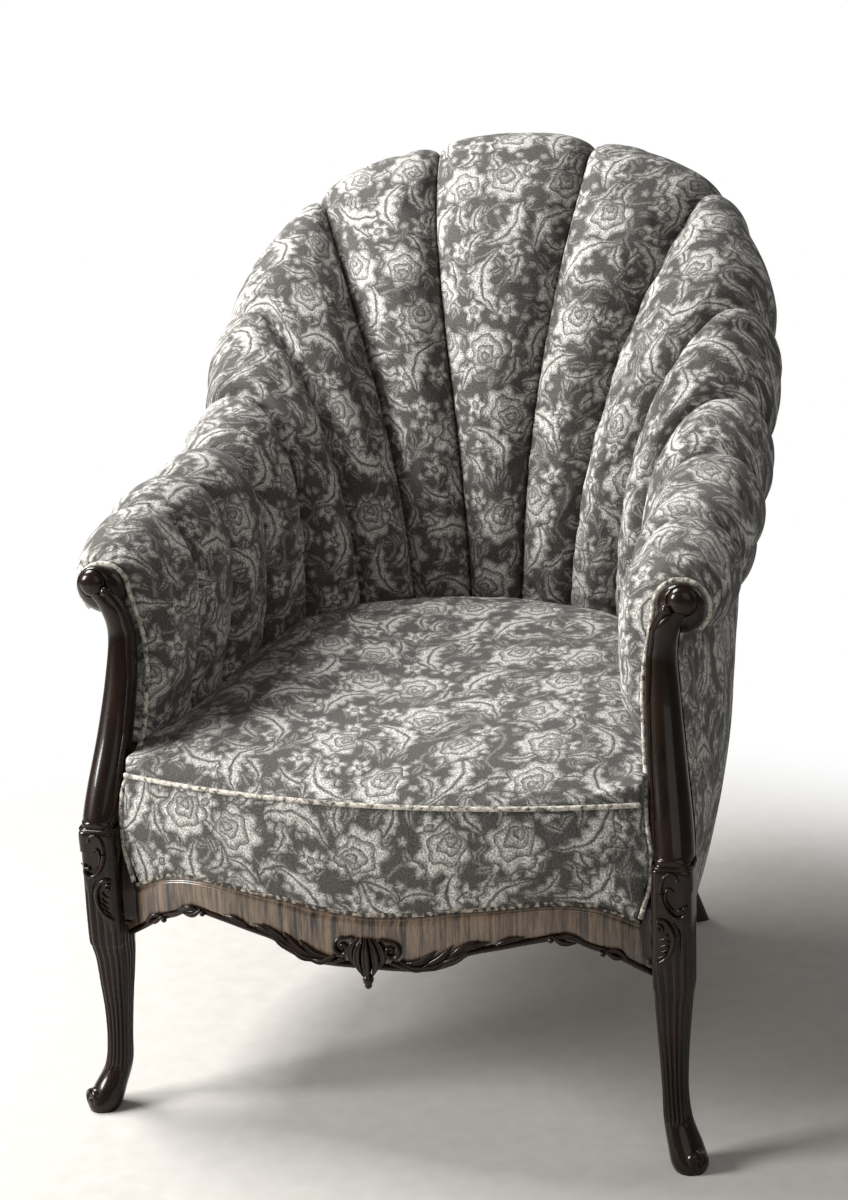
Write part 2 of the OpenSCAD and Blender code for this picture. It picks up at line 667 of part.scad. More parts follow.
// Hour-glass springs between the webbing and the hessian
spring_at = [for (i = [-1:1], j = [0:2]) [140 * i, 45 + 150 * j]];
spring_r = 36;
spring_waist = 24;
spring_turns = 4;
spring_steps = 8;
spring_low = webbing_h + 2 * web_t + 2 * soft_gap;
module seat_springs() {
    n = spring_turns * spring_steps;
    h = spring_top - soft_gap - spring_low - spring_wire;
    color("#9a9a96") placed() for (p = spring_at) tube([for (i = [0:n])
        let (t = i / n, r = mix(spring_waist, spring_r, pow(abs(2 * t - 1), 1.5)), a = 360 * i / spring_steps)
        [p[0] + r * cos(a), p[1] + r * sin(a), spring_low + spring_wire / 2 + h * t]], spring_wire / 2, 4);
}

// The seat's plan, as a closed line: along the front, then back round the well.
// Front points stand a distance behind the bow, drawn in by a share of their own, and the others
// lie a share of the way out.
seat_centre = [0, 0.43 * well_d];
front_steps = 18;
well_feet = [for (n = [7:-1:-8])
    let (m = n < 0 ? -n - 1 : n, q = foot(m) - (m == 7 ? piping_d : 0) * [1, 0, 0])
    [(n < 0 ? -1 : 1) * q[0], q[1]]];
well_line = [for (i = [0:0.5:len(well_feet) - 1]) mix(well_feet[floor(i)], well_feet[ceil(i)], i - floor(i))];
corner_y = bow(block_in) + facing_t + 1;
function wood_edge(z) = z < knee_top ? knee_x - knee_w / 2 : post_edge(z)[0];
function front_x(i, z) = mix(-1, 1, i / front_steps) * (wood_edge(z) - piping_d - 3 * soft_gap);
function seat_line(behind, share, front_z, side_z, pull = 1) = [
    for (i = [0:front_steps]) let (x = front_x(i, front_z), q = mix(seat_centre, [x, bow(x) + behind], pull))
        [q[0], q[1], front_z < 0 ? upper_edge(x) - front_z : front_z],
    for (p = [[front_x(front_steps, front_z), corner_y], each well_line, [front_x(0, front_z), corner_y]])
        let (q = mix(seat_centre, p, share)) [q[0], q[1], side_z]];
// The hollow over the springs: shares of the way out at its top and at the rails, and the slack
// between the hessian's two faces and the pad's
hollow = [0.78, 0.88];
hollow_t = 0.004;

function hollow_line(level, layer, z) = let (share = hollow[level] + layer * hollow_t)
    seat_line(0, share, z, z, share);

// Hessian over the springs, tacked down on the rails all round
module seat_hessian() {
    outline = [for (i = [0:front_steps]) let (x = front_x(i, rail_top)) [x, bow(x) + facing_t + 8],
        for (p = frame_at_well()) p];
    color(hessian) placed() clear_of_posts() skin([
        hollow_line(0, 0, spring_top),
        hollow_line(1, 0, rail_top + soft_gap),
        [for (p = outline) [p[0], p[1], rail_top + soft_gap]],
        [for (p = outline) [p[0], p[1], rail_top + soft_gap + hessian_t]],
        hollow_line(1, 1, rail_top + soft_gap + hessian_t),
        hollow_line(0, 1, spring_top + hessian_t)],
        [[each seat_centre, spring_top], [each seat_centre, spring_top + hessian_t]]);
}
function frame_at_well() = let (line = frame_line(-8, 7, panel_t + 6, 2), n = len(line) - 1)
    [[block_in, corner_y], for (i = [n:-1:0]) line[i], [-block_in, corner_y]];

// The stuffed seat: a crowned top that falls to the well all round, and a front border
pad_under = rail_top + 2 * soft_gap + hessian_t;
pad_recess = spring_top + 2 * soft_gap + hessian_t;
well_edge_z = seam_foot_z - 3;
hem_gap = 1.2;
crown_rings = [0.95, 0.87, 0.72, 0.5, 0.25];
back_rise = 44;
function crown_z(y) = seat_h + seat_crown + back_rise * (y - seat_centre[1]) / (well_d - seat_centre[1]);
function crown(f) = [for (p = seat_line(0, 1, seat_h, well_edge_z))
    let (q = mix([each seat_centre, 0], p, f))
    [q[0], q[1], mix(p[2], crown_z(q[1]), pow(1 - pow(f, 6), 0.5))]];
module pad_body() {
    skin(concat([
        hollow_line(0, 3, pad_recess),
        hollow_line(1, 3, pad_under),
        seat_line(facing_t - soft_gap, 0.98, pad_under, pad_under),
        seat_line(facing_t - soft_gap, 0.99, -hem_gap, pad_under),
        seat_line(1, 1, -hem_gap, pad_under),
        seat_line(1, 1, -gimp_w - 1, pad_under + 12),
        seat_line(-5, 1, mix(rail_top, seat_h, 0.35), mix(rail_top, seat_h, 0.5)),
        seat_line(-4, 1, mix(rail_top, seat_h, 0.8), mix(rail_top, seat_h, 0.9)),
        seat_line(0, 1, seat_h, well_edge_z)],
        [for (f = crown_rings) crown(f)]),
        [[each seat_centre, pad_recess], [each seat_centre, crown_z(seat_centre[1])]]);
}
module seat_pad() {
    color(velvet) placed() difference() {
        pad_body();
        for (side = [-1, 1]) scale([side, 1, 1]) leg_body();
    }
}

// Piping along the seat's front edge, and along each arm post and round its scroll
module seat_piping() {
    off = piping_d / 2 + soft_gap;
    color("#8d867a") placed() tube([for (i = [0:front_steps * 2])
        let (x = mix(-1, 1, i / front_steps / 2) * (wood_edge(seat_h) - piping_d - soft_gap))
        [x, bow(x) - 0.74 * off, seat_h + 0.74 * off]], piping_d / 2, 6);
}
module post_piping() {
    r = piping_d / 2;
    foot_z = upper_edge(wood_edge(0)) + gimp_w + r;
    color("#8d867a") difference() {
        tube(concat(
            [for (z = [foot_z, mix(foot_z, seat_h, 0.35), mix(foot_z, seat_h, 0.7), seat_h])
                let (x = wood_edge(z) - r) [x, bow(x) - 2, z]],
            [for (z = [seat_h + 40:30:arm_h - 36]) let (e = post_edge(z)) [e[0] - 1, e[1] - r - 1, z]],
            [for (a = [168:-18:-48]) volute_at + [0, volute_t / 2 - r, 0]
                + (volute_r + r) * [cos(a), 0, sin(a)]]), r, 6);
        post_body();
        leg_body();
    }
}

// Flat gimp that covers the tacks along the facing's upper edge
gimp_w = 8;
gimp_t = 2;
module rail_gimp() {
    color("#8d867a") placed() skin([for (i = [0:rail_stations])
        let (x = mix(-1, 1, i / rail_stations) * (wood_edge(0) - soft_gap), y = bow(x) + 1 - soft_gap,
            z = upper_edge(x) + soft_gap)
        [[x, y - gimp_t, z], [x, y, z], [x, y, z + gimp_w], [x, y - gimp_t, z + gimp_w]]]);
}

// Outside panels, from the underside of the roll down to the foot of the rails
panel_rows = 5;
panel_bulge = 32;
// Angle between the end of the roll's cover and the panel's upper edge, and how deep that lies
tuck_turn = 2;
tuck_in = 6;
function panel_point(n, row) = let (
    m = n < 0 ? -n - 1 : n, t = row / panel_rows,
    full = panel_bulge * mix(0.65, 1, seam_turn[m] / 90) * flat(seam_turn[m]),
    top = on_roll(m, roll_end - tuck_turn, padded_r(m) - tuck_in),
    low = [frame_plan[m][0] * frame_w / 2, frame_plan[m][1] * frame_d, rail_under], h = top[2] - low[2],
    q = m < 7
        ? bezier(top, top - 0.3 * h * up + 0.3 * full, low + 0.45 * h * up + 1.4 * full, low, t)
        : post_back(mix(top[2], low[2], t)))
    [(n < 0 ? -1 : 1) * q[0], q[1], q[2]];
// The outer back edge of the post, and below it that of the knee block. A panel runs down it in
// straight stretches, so it stands a little further off than the post's own curve needs.
post_clear = 0.9;
post_lap = 2;
collar_h = 20;
function post_back(z) = z < knee_top + collar_h
    ? [mix(frame_w / 2, knee_x + knee_w / 2 - 6, (z - rail_under) / (knee_top + collar_h - rail_under)),
        max(frame_plan[7][1] * frame_d, knee_y + knee_d / 2 + soft_gap), z]
    : [lookup(z, [for (i = [2:len(post_path) - 1])
            [post_path[i][2], post_path[i][0] + post_size[i][0] * post_w / 2]]) - post_lap,
        post_edge(z)[1] + post_clear, z];
panel_steps = 3;
function panel_row(row) = let (
    pts = [for (n = [-8:7]) panel_point(n, row)], curve = smooth(pts, panel_steps))
    [for (i = [0:len(curve) - 1]) let (k = floor(i / panel_steps), f = i / panel_steps - k)
        mix(f == 0 ? pts[k] : mix(pts[k], pts[k + 1], f), curve[i], row / panel_rows)];
module panel(from, to) {
    rows = [for (r = [0:panel_rows]) panel_row(r)];
    outer = frame_line(-8, 7, 0, panel_steps);
    inner = frame_line(-8, 7, panel_t, panel_steps);
    skin([for (i = [(from + 8) * panel_steps:(to + 8) * panel_steps])
        let (d = inner[i] - outer[i], in = [d[0], d[1], 0])
        [for (r = [0:panel_rows]) rows[r][i] + in, for (r = [panel_rows:-1:0]) rows[r][i]]],
        bands = from < 0 ? floor((to - from) * panel_steps / 2) : 0, faces = panel_rows);
}
module outside_arm(side) {
    color(velvet) handed(side) panel(3, 7);
}
module outside_back() {
    color(velvet) placed() panel(-4, 3);
}

handed(-1) front_leg();  // front_leg_left
handed(1) front_leg();  // front_leg_right
handed(-1) arm_post();  // arm_post_left
handed(1) arm_post();  // arm_post_right
front_rail();
rail_facing();
rail_bead();
rail_cartouche();
rail_carving(-1);  // rail_carving_left
rail_carving(1);  // rail_carving_right
back_upright(-1);  // back_upright_left
back_upright(1);  // back_upright_right
side_rail(-1);  // side_rail_left
side_rail(1);  // side_rail_right
back_rail();
corner_blocks();
corner_screws();
rail_dowels();
post_dowels();
handed(-1) roll_core(2, 7);  // arm_rail_left
handed(1) roll_core(2, 7);  // arm_rail_right
placed() roll_core(-3, 2);  // crest_rail
arm_lining_rail(-1);  // arm_lining_rail_left
arm_lining_rail(1);  // arm_lining_rail_right
back_lining_rail();
back_studs();
webbing_battens();
seat_webbing();
seat_springs();
seat_hessian();
seat_pad();
seat_piping();
handed(-1) post_piping();  // post_piping_left
handed(1) post_piping();  // post_piping_right
rail_gimp();
arm_hessian(-1);  // arm_hessian_left
arm_hessian(1);  // arm_hessian_right
back_hessian();
placed() channel(0);  // channel_centre
handed(-1) channel(1);  // channel_left_1
handed(-1) channel(2);  // channel_left_2
handed(-1) channel(3);  // channel_left_3
handed(-1) channel(4);  // channel_left_4
handed(-1) channel(5);  // channel_left_5
handed(-1) channel(6);  // channel_left_6
handed(-1) channel(7);  // channel_left_7
handed(1) channel(1);  // channel_right_1
handed(1) channel(2);  // channel_right_2
handed(1) channel(3);  // channel_right_3
handed(1) channel(4);  // channel_right_4
handed(1) channel(5);  // channel_right_5
handed(1) channel(6);  // channel_right_6
handed(1) channel(7);  // channel_right_7
outside_arm(-1);  // outside_arm_left
outside_arm(1);  // outside_arm_right
outside_back();
dust_cover();
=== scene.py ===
import bisect
import math
import bmesh
import bpy
from mathutils import Matrix, Vector, noise


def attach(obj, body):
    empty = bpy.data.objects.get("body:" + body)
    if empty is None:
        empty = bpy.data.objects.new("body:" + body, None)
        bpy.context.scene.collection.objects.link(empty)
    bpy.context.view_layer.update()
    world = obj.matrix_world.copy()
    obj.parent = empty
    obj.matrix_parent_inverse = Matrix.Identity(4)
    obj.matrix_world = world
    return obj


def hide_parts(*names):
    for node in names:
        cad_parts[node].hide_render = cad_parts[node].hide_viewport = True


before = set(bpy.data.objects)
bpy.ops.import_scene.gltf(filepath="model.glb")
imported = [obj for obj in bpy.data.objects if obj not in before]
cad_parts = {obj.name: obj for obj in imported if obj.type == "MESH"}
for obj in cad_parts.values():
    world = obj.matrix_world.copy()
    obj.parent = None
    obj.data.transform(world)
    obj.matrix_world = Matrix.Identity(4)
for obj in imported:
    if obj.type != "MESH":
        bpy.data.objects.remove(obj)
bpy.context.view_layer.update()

# The frame inside: beech rails, blocks, dowels and lining rails, glued and screwed together.
# Planed and left bare, since the covers hide it: pale, with short brown flecks along the grain.
BEECH_LIGHT, BEECH_DARK, BEECH_FLECK = "#cba577", "#b98e60", "#8f6540"
BEECH_PIECES = ["front_rail", "side_rail_left", "side_rail_right", "back_rail", "corner_blocks",
    "rail_dowels", "post_dowels", "arm_rail_left", "arm_rail_right", "crest_rail",
    "arm_lining_rail_left", "arm_lining_rail_right", "back_lining_rail", "back_studs",
    "webbing_battens"]


def colour(code):
    """A colour as the eye sees it, in hex, turned into the linear values that a shader takes."""
    parts = [int(code[i:i + 2], 16) / 255 for i in (1, 3, 5)]
    return [p / 12.92 if p <= 0.04045 else ((p + 0.055) / 1.055) ** 2.4 for p in parts] + [1]


def add(tree, kind, *sockets, stops=(), **settings):
    """Adds a node. Its sockets are links or values in order, or one dict of them by name. The stops
    of a colour ramp are places with their tones, from the lowest up."""
    made = tree.nodes.new("ShaderNode" + kind)
    for name, value in settings.items():
        setattr(made, name, value)
    for place, tone in stops[2:]:
        made.color_ramp.elements.new(place)
    for stop, (place, tone) in zip(made.color_ramp.elements if stops else (), stops):
        stop.position, stop.color = place, tone
    named = sockets[0] if sockets and isinstance(sockets[0], dict) else dict(enumerate(sockets))
    for name, value in named.items():
        if isinstance(value, bpy.types.NodeSocket):
            tree.links.new(value, made.inputs[name])
        else:
            made.inputs[name].default_value = value
    return made.outputs


def new_material(name):
    made = bpy.data.materials.new(name)
    made.use_nodes = True
    made.node_tree.nodes.clear()
    return made, made.node_tree


def dress(names, material):
    """Gives CAD pieces their finish."""
    for name in names:
        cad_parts[name].data.materials.clear()
        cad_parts[name].data.materials.append(material)


def wood_figure(tree, stretch, spacing_mm, wander):
    """Grain lines along one axis, spacing_mm apart: their tone, and a finer one for the pores."""
    place = add(tree, "TexCoord")["Object"]
    long_way = add(tree, "VectorMath", place, stretch, operation="MULTIPLY")[0]
    drift = add(tree, "TexNoise", {"Vector": long_way, "Scale": 9, "Detail": 3})["Fac"]
    bent = add(tree, "VectorMath", drift, [wander] * 3, long_way, operation="MULTIPLY_ADD")[0]
    rings = add(tree, "TexNoise", {"Vector": bent, "Scale": 1000 / spacing_mm / 3, "Detail": 6,
        "Roughness": 0.62})["Fac"]
    pores = add(tree, "TexNoise", {"Vector": long_way, "Scale": 1000 / PORE_MM, "Detail": 2})["Fac"]
    return rings, pores


PORE_MM = 1.2
BEECH_GRAIN = {"stretch": (1, 1, 0.08), "spacing_mm": 6, "wander": 0.02}


beech, tree = new_material("planed_beech")
rings, pores = wood_figure(tree, **BEECH_GRAIN)
tone = add(tree, "ValToRGB", rings, stops=[(0.3, colour(BEECH_LIGHT)), (0.7, colour(BEECH_DARK))])[0]
fleck = add(tree, "ValToRGB", pores, stops=[(0.66, (0, 0, 0, 1)), (0.72, (1, 1, 1, 1))])[0]
tone = add(tree, "Mix", {0: fleck, 6: tone, 7: colour(BEECH_FLECK)}, data_type="RGBA")[2]
relief = add(tree, "Bump", {"Height": pores, "Strength": 0.3, "Distance": 0.0004})[0]
add(tree, "OutputMaterial", add(tree, "BsdfPrincipled",
    {"Base Color": tone, "Roughness": 0.62, "Normal": relief})[0])
dress(BEECH_PIECES, beech)

# The back uprights: one length of beech each, which is a stile inside the cover and a raked leg
# below the rails. The leg alone is stained and polished to match the show wood.
WALNUT_DEEP, WALNUT_MID, WALNUT_WARM = "#0c0705", "#170e09", "#26170f"
RAIL_UNDERSIDE = 0.215
upright_wood, tree = new_material("beech_with_a_stained_and_polished_leg")
rings, pores = wood_figure(tree, **BEECH_GRAIN)
bare = add(tree, "ValToRGB", rings, stops=[(0.3, colour(BEECH_LIGHT)), (0.7, colour(BEECH_DARK))])[0]
stained = add(tree, "ValToRGB", rings, stops=[(0.35, colour(WALNUT_DEEP)), (0.75, colour(WALNUT_MID))])[0]
height = add(tree, "SeparateXYZ", add(tree, "TexCoord")["Object"])["Z"]
above = add(tree, "Math", height, RAIL_UNDERSIDE, operation="GREATER_THAN")[0]
tone = add(tree, "Mix", {0: above, 6: stained, 7: bare}, data_type="RGBA")[2]
rough = add(tree, "MapRange", {"Value": above, "To Min": 0.22, "To Max": 0.6})[0]
relief = add(tree, "Bump", {"Height": pores, "Strength": 0.2, "Distance": 0.0003})[0]
add(tree, "OutputMaterial", add(tree, "BsdfPrincipled",
    {"Base Color": tone, "Roughness": rough, "Normal": relief, "Coat Weight": 0.25})[0])
dress(["back_upright_left", "back_upright_right"], upright_wood)

# The screws through the corner blocks: turned brass, dulled by age, yellow and a little uneven
# where it shines.
brass, tree = new_material("turned_brass")
dull = add(tree, "TexNoise", {"Vector": add(tree, "TexCoord")["Object"], "Scale": 400, "Detail": 4})["Fac"]
rough = add(tree, "MapRange", {"Value": dull, "To Min": 0.25, "To Max": 0.5})[0]
add(tree, "OutputMaterial", add(tree, "BsdfPrincipled",
    {"Base Color": colour("#c9a75c"), "Metallic": 1, "Roughness": rough})[0])
dress(["corner_screws"], brass)

# The suspension: jute webs tacked across the rails, hour-glass springs of lacquered steel wire
# sewn to them, and hessian stretched over the springs and behind the stuffing of the back.
WEB_THREAD_MM, HESSIAN_THREAD_MM = 2.2, 1.8


def plain_weave(tree, place, thread_mm):
    """Threads over and under each other: 1 on top of a thread, 0 in the gaps. place is in metres."""
    turns = math.pi * 1000 / thread_mm
    x, y, z = add(tree, "SeparateXYZ", add(tree, "VectorMath", place, [turns] * 3,
        operation="MULTIPLY")[0])
    warp = add(tree, "Math", add(tree, "Math", x, operation="SINE")[0], operation="ABSOLUTE")[0]
    depth = add(tree, "Math", y, z, operation="ADD")[0]
    weft = add(tree, "Math", add(tree, "Math", depth, operation="SINE")[0], operation="ABSOLUTE")[0]
    return add(tree, "Math", warp, weft, operation="MULTIPLY")[0]


for name, light, dark, thread, pieces in [
        ("jute_webbing", "#b39a6d", "#6f5a38", WEB_THREAD_MM, ["seat_webbing"]),
        ("jute_hessian", "#b09468", "#5f4c30", HESSIAN_THREAD_MM,
            ["seat_hessian", "arm_hessian_left", "arm_hessian_right", "back_hessian"])]:
    jute, tree = new_material(name)
    place = add(tree, "TexCoord")["Object"]
    threads = plain_weave(tree, place, thread)
    slubs = add(tree, "TexNoise", {"Vector": place, "Scale": 260, "Detail": 4})["Fac"]
    tone = add(tree, "ValToRGB", add(tree, "Math", threads, slubs, operation="MULTIPLY")[0],
        stops=[(0.1, colour(dark)), (0.5, colour(light))])[0]
    relief = add(tree, "Bump", {"Height": threads, "Strength": 0.8, "Distance": 0.0006})[0]
    add(tree, "OutputMaterial", add(tree, "BsdfPrincipled",
        {"Base Color": tone, "Roughness": 0.9, "Normal": relief, "Sheen Weight": 0.2})[0])
    dress(pieces, jute)

spring_steel, tree = new_material("lacquered_spring_steel")
place = add(tree, "TexCoord")["Object"]
mottle = add(tree, "TexNoise", {"Vector": place, "Scale": 160, "Detail": 5})["Fac"]
tone = add(tree, "ValToRGB", mottle, stops=[(0.35, colour("#6d675e")), (0.7, colour("#a39d92"))])[0]
add(tree, "OutputMaterial", add(tree, "BsdfPrincipled",
    {"Base Color": tone, "Metallic": 1, "Roughness": 0.38})[0])
dress(["seat_springs"], spring_steel)

# The show wood: front legs of dark walnut, carved, then stained and French polished to a high
# gloss. A knee block runs down into a fluted shaft and a foot that scrolls outwards. Sizes are
# in millimetres, with depths measured back from the arm fronts, as the frame's maker would.
FRAME_W, FRAME_D, RAIL_UNDER, RAIL_TOP, RAIL_T = 628, 590, 215, 305, 25
RAIL_END_Y, SEAT_BOW = -45, 50
KNEE_OUT, KNEE_W, KNEE_D, KNEE_TOP, PANEL_T, GAP = 4, 42, 50, 312, 4, 0.3
KNEE_X, KNEE_Y = FRAME_W / 2 + KNEE_OUT, RAIL_END_Y + 2
BLOCK_IN = FRAME_W / 2 - PANEL_T - GAP - RAIL_T
FACING_T = 14
FACING_HALF = KNEE_X - KNEE_W / 2 + 1.5
# How far the arm fronts lie in front of the chair's origin
DATUM_Y = 325.07
# Each stage of the leg from the floor up: its middle's offset from the knee [x, y], its height,
# width and squareness
LEG = [(18, -20, 0, 34, 2), (17, -18, 8, 40, 2), (12, -13, 24, 38, 2), (3, -4, 50, 31, 2.2),
    (0, -2, 85, 28, 2.6), (-1, 0, 132, 32, 3), (-1, 2, 178, 38, 3.4), (0, 1, 196, 40.5, 4),
    (0, 0, 215, 42, 6), (0, 0, 312, 42, 6)]
LEG_ROWS = 140
# Up to here the leg is as deep as it is wide
ROUND_TO = 120
FLUTES, FLUTE_DEPTH, FLUTE_LOW, FLUTE_HIGH = 20, 2.6, 44, 276
# How much lower the flutes end in front, where the carving lies over them
UNDER_LEAF = 44
# The scroll of the foot: its middle from the knee's, on the floor's level, and half its width
TOE, TOE_HALF = (22, -23, 13), 11


def mix(a, b, t):
    return a + (b - a) * t


def clamp(t):
    return min(1, max(0, t))


def circle(count):
    """Angles evenly round a turn."""
    return [math.tau * k / count for k in range(count)]


def through(points, t):
    """A smooth curve through chosen points, at t from 0 to 1. Each point is a Vector or a number."""
    t = clamp(t) * (len(points) - 1)
    i = min(int(t), len(points) - 2)
    t -= i
    b, c = points[i], points[i + 1]
    a = points[i - 1] if i else b * 2 - c
    d = points[i + 2] if i + 2 < len(points) else c * 2 - b
    return (b * 2 + (c - a) * t + (a * 2 - b * 5 + c * 4 - d) * t * t
        + (b * 3 - a - c * 3 + d) * t ** 3) * 0.5


def smooth_line(points, steps):
    """Vectors evenly spaced along the smooth curve through a list of pairs."""
    return [through([Vector((*p, 0)) for p in points], i / steps) for i in range(steps + 1)]


def window(x, low, high, fade):
    """1 inside two values, fading to 0 towards them."""
    return clamp((x - low) / fade) * clamp((high - x) / fade)


def squircle(width, depth, square, count):
    """Points evenly spaced round a rounded four-sided outline, each with its outward direction."""
    raw = []
    for a in circle(count * 4):
        raw.append(Vector((width / 2 * math.copysign(abs(math.cos(a)) ** (2 / square), math.cos(a)),
            depth / 2 * math.copysign(abs(math.sin(a)) ** (2 / square), math.sin(a)), 0)))
    far = [0]
    for i in range(len(raw)):
        far.append(far[-1] + (raw[(i + 1) % len(raw)] - raw[i]).length)
    even = []
    for k in range(count):
        i = bisect.bisect_right(far, far[-1] * k / count) - 1
        share = (far[-1] * k / count - far[i]) / max(far[i + 1] - far[i], 1e-9)
        even.append(raw[i].lerp(raw[(i + 1) % len(raw)], share))
    ways = [(even[(k + 1) % count] - even[k - 1]).cross(Vector((0, 0, 1))).normalized()
        for k in range(count)]
    return list(zip(even, ways))


def lay(bm, across, along, place):
    """Lays a grid over a form. place gives a point for each share across and along it."""
    made = bmesh.ops.create_grid(bm, x_segments=across, y_segments=along, size=0.5)["verts"]
    for v in made:
        v.co = place(v.co.x + 0.5, v.co.y + 0.5)
    return made


def skin(bm, rings):
    """Lays a grid through a list of outlines, then closes its seam and its two ends."""
    n, m = len(rings[0]), len(rings) - 1
    made = lay(bm, n, m, lambda u, v: rings[round(v * m)][round(u * n) % n])
    bmesh.ops.remove_doubles(bm, verts=made, dist=1e-4)
    made = [v for v in made if v.is_valid]
    rims = {e for v in made for e in v.link_edges if e.is_boundary}
    bmesh.ops.holes_fill(bm, edges=list(rims), sides=0)
    for edge in rims:
        edge.smooth = False
    return made


def sweep(bm, path, widths, heights, sides=12, out=Vector((0, -1, 0)), groove=0):
    """Draws an oval section along a path. widths and heights are numbers, or curves along it."""
    rings = []
    for i, p in enumerate(path):
        t = i / (len(path) - 1)
        w = through(widths, t) if isinstance(widths, list) else widths
        h = through(heights, t) if isinstance(heights, list) else heights
        side = (path[min(i + 1, len(path) - 1)] - path[max(i - 1, 0)]).cross(out).normalized()
        ring = []
        for a in circle(sides):
            dip = groove * h * math.exp(-(math.cos(a) / 0.3) ** 2) if math.sin(a) > 0 else 0
            ring.append(p + w * math.cos(a) * side + (h * math.sin(a) - dip) * out)
        rings.append(ring)
    return skin(bm, rings)


def stand(name, bm, material, nodes, side=1, levels=0):
    """Makes a finished mesh an object in the chair's own frame that stands for CAD nodes."""
    bmesh.ops.recalc_face_normals(bm, faces=bm.faces)
    place = Matrix.Translation((0, -DATUM_Y / 1000, 0)) @ Matrix.Diagonal((side / 1000, 0.001, 0.001, 1))
    bmesh.ops.transform(bm, matrix=place, verts=bm.verts)
    if side < 0:
        bmesh.ops.reverse_faces(bm, faces=bm.faces)
    for face in bm.faces:
        face.smooth = True
    made = bpy.data.objects.new(name, bpy.data.meshes.new(name))
    bpy.context.scene.collection.objects.link(made)
    bm.to_mesh(made.data)
    bm.free()
    made.data.materials.append(material)
    if levels:
        soften = made.modifiers.new("soften", "SUBSURF")
        soften.levels = soften.render_levels = levels
    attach(made, "root")
    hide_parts(*nodes)
    return made


def polished_wood(name, deep, mid, warm, stretch, spacing_mm):
    """Polished wood: figure under a clear coat, with painted highlight on the edges and painted shade in
    the hollows.
    """
    made, tree = new_material(name)
    rings, pores = wood_figure(tree, stretch, spacing_mm, 0.03)
    tone = add(tree, "ValToRGB", rings,
        stops=[(0.3, colour(deep)), (0.72, colour(warm)), (0.721, colour(mid))])[0]
    # Painted shade in the hollows and painted highlight on the edges, set by the surface's pointiness
    painted_light_and_dashes = add(tree, "ValToRGB", add(tree, "NewGeometry")["Pointiness"],
        stops=[(0.44, (0.6, 0.6, 0.6, 1)), (0.62, (1.5, 1.45, 1.4, 1))])[0]
    tone = add(tree, "Mix", {0: 1, 6: tone, 7: painted_light_and_dashes}, data_type="RGBA", blend_type="MULTIPLY")[2]
    rough = add(tree, "MapRange", {"Value": pores, "To Min": 0.2, "To Max": 0.34})[0]
    relief = add(tree, "Bump", {"Height": rings, "Strength": 0.03, "Distance": 0.0003})[0]
    add(tree, "OutputMaterial", add(tree, "BsdfPrincipled", {"Base Color": tone, "Roughness": rough,
        "Specular IOR Level": 0.12, "Normal": relief, "Coat Weight": 0.5, "Coat Roughness": 0.06,
        "Coat IOR": 1.4})[0])
    return made


walnut = polished_wood("french_polished_walnut", WALNUT_DEEP, WALNUT_MID, WALNUT_WARM, (1, 1, 0.12), 5)


def bow(x):
    """Depth of the facing's front at a distance from the centre."""
    return RAIL_END_Y - SEAT_BOW * (1 - (x / (FRAME_W / 2 - 24)) ** 2)


def spiral(x, z, start_r, end_r, start_turn, turns, steps):
    """Points that wind in round [x, z] from an angle in degrees. turns below 0 run clockwise."""
    made = []
    for i in range(steps + 1):
        t = i / steps
        r, a = mix(start_r, end_r, t ** 0.8), math.radians(start_turn) + math.tau * turns * t
        made.append((x + r * math.cos(a), z + r * math.sin(a)))
    return made


# How far the hollow between facing and knee runs over the knee's front
HOLLOW_OUT = 7


def knee_edge(z):
    """The knee's inner edge: below the seat it eases out into the facing."""
    return KNEE_X - KNEE_W / 2 - 14 * clamp((314 - z) / 52) * clamp((z - 218) / 14)


def knee_front(x, z, proud):
    """A point proud of the knee's front or of the hollow beside it. x is from the knee's middle."""
    inner, outer = knee_edge(z) - KNEE_X, HOLLOW_OUT - KNEE_W / 2
    u = clamp((x - inner) / (outer - inner))
    y = mix(bow(KNEE_X + inner) - 1, KNEE_Y - KNEE_D / 2, 1 - math.sqrt(1 - u * u))
    return Vector((KNEE_X + x, y + 2.4 * max(0, x / (KNEE_W / 2)) ** 4 - proud, z))


def raised_line(bm, points, widths, heights, low=0, high=KNEE_TOP):
    """A carved line on the knee, kept to the heights that belong to the piece being made."""
    line = [(i / 60, p) for i, p in enumerate(smooth_line(points, 60)) if low <= p.y <= high]
    if len(line) > 2:
        sweep(bm, [knee_front(p.x, p.y, 1) for t, p in line], [through(widths, t) for t, p in line],
            [through(heights, t) for t, p in line])


def ball(bm, middle, r, stretch=(1, 1, 1)):
    bmesh.ops.create_uvsphere(bm, u_segments=20, v_segments=12, radius=r,
        matrix=Matrix.Translation(middle) @ Matrix.Diagonal((*stretch, 1)))


# The carving that crosses the joint of leg and post: an S-scroll, drawn as [x, z] from the knee's
# middle, and the small curl inside it
S_SCROLL = [(8, 326), (6, 331), (0, 333), (-6, 329), (-9, 320), (-9, 309), (-6, 299), (-1, 290),
    (6, 285), (12, 286), (15, 290), (13, 294), (10, 294)]
S_CURL = [(4, 313), (0, 317), (-4, 314), (-5, 306), (-2, 299), (4, 293)]


def s_scroll(bm, low, high):
    raised_line(bm, S_SCROLL, [1.2, 2, 2.5, 2.5, 1.8], [1.8, 3.4, 4, 4, 3], low, high)
    raised_line(bm, S_CURL, [1, 1.6, 1.8, 0.8], [1.4, 2.6, 3, 1.2], low, high)


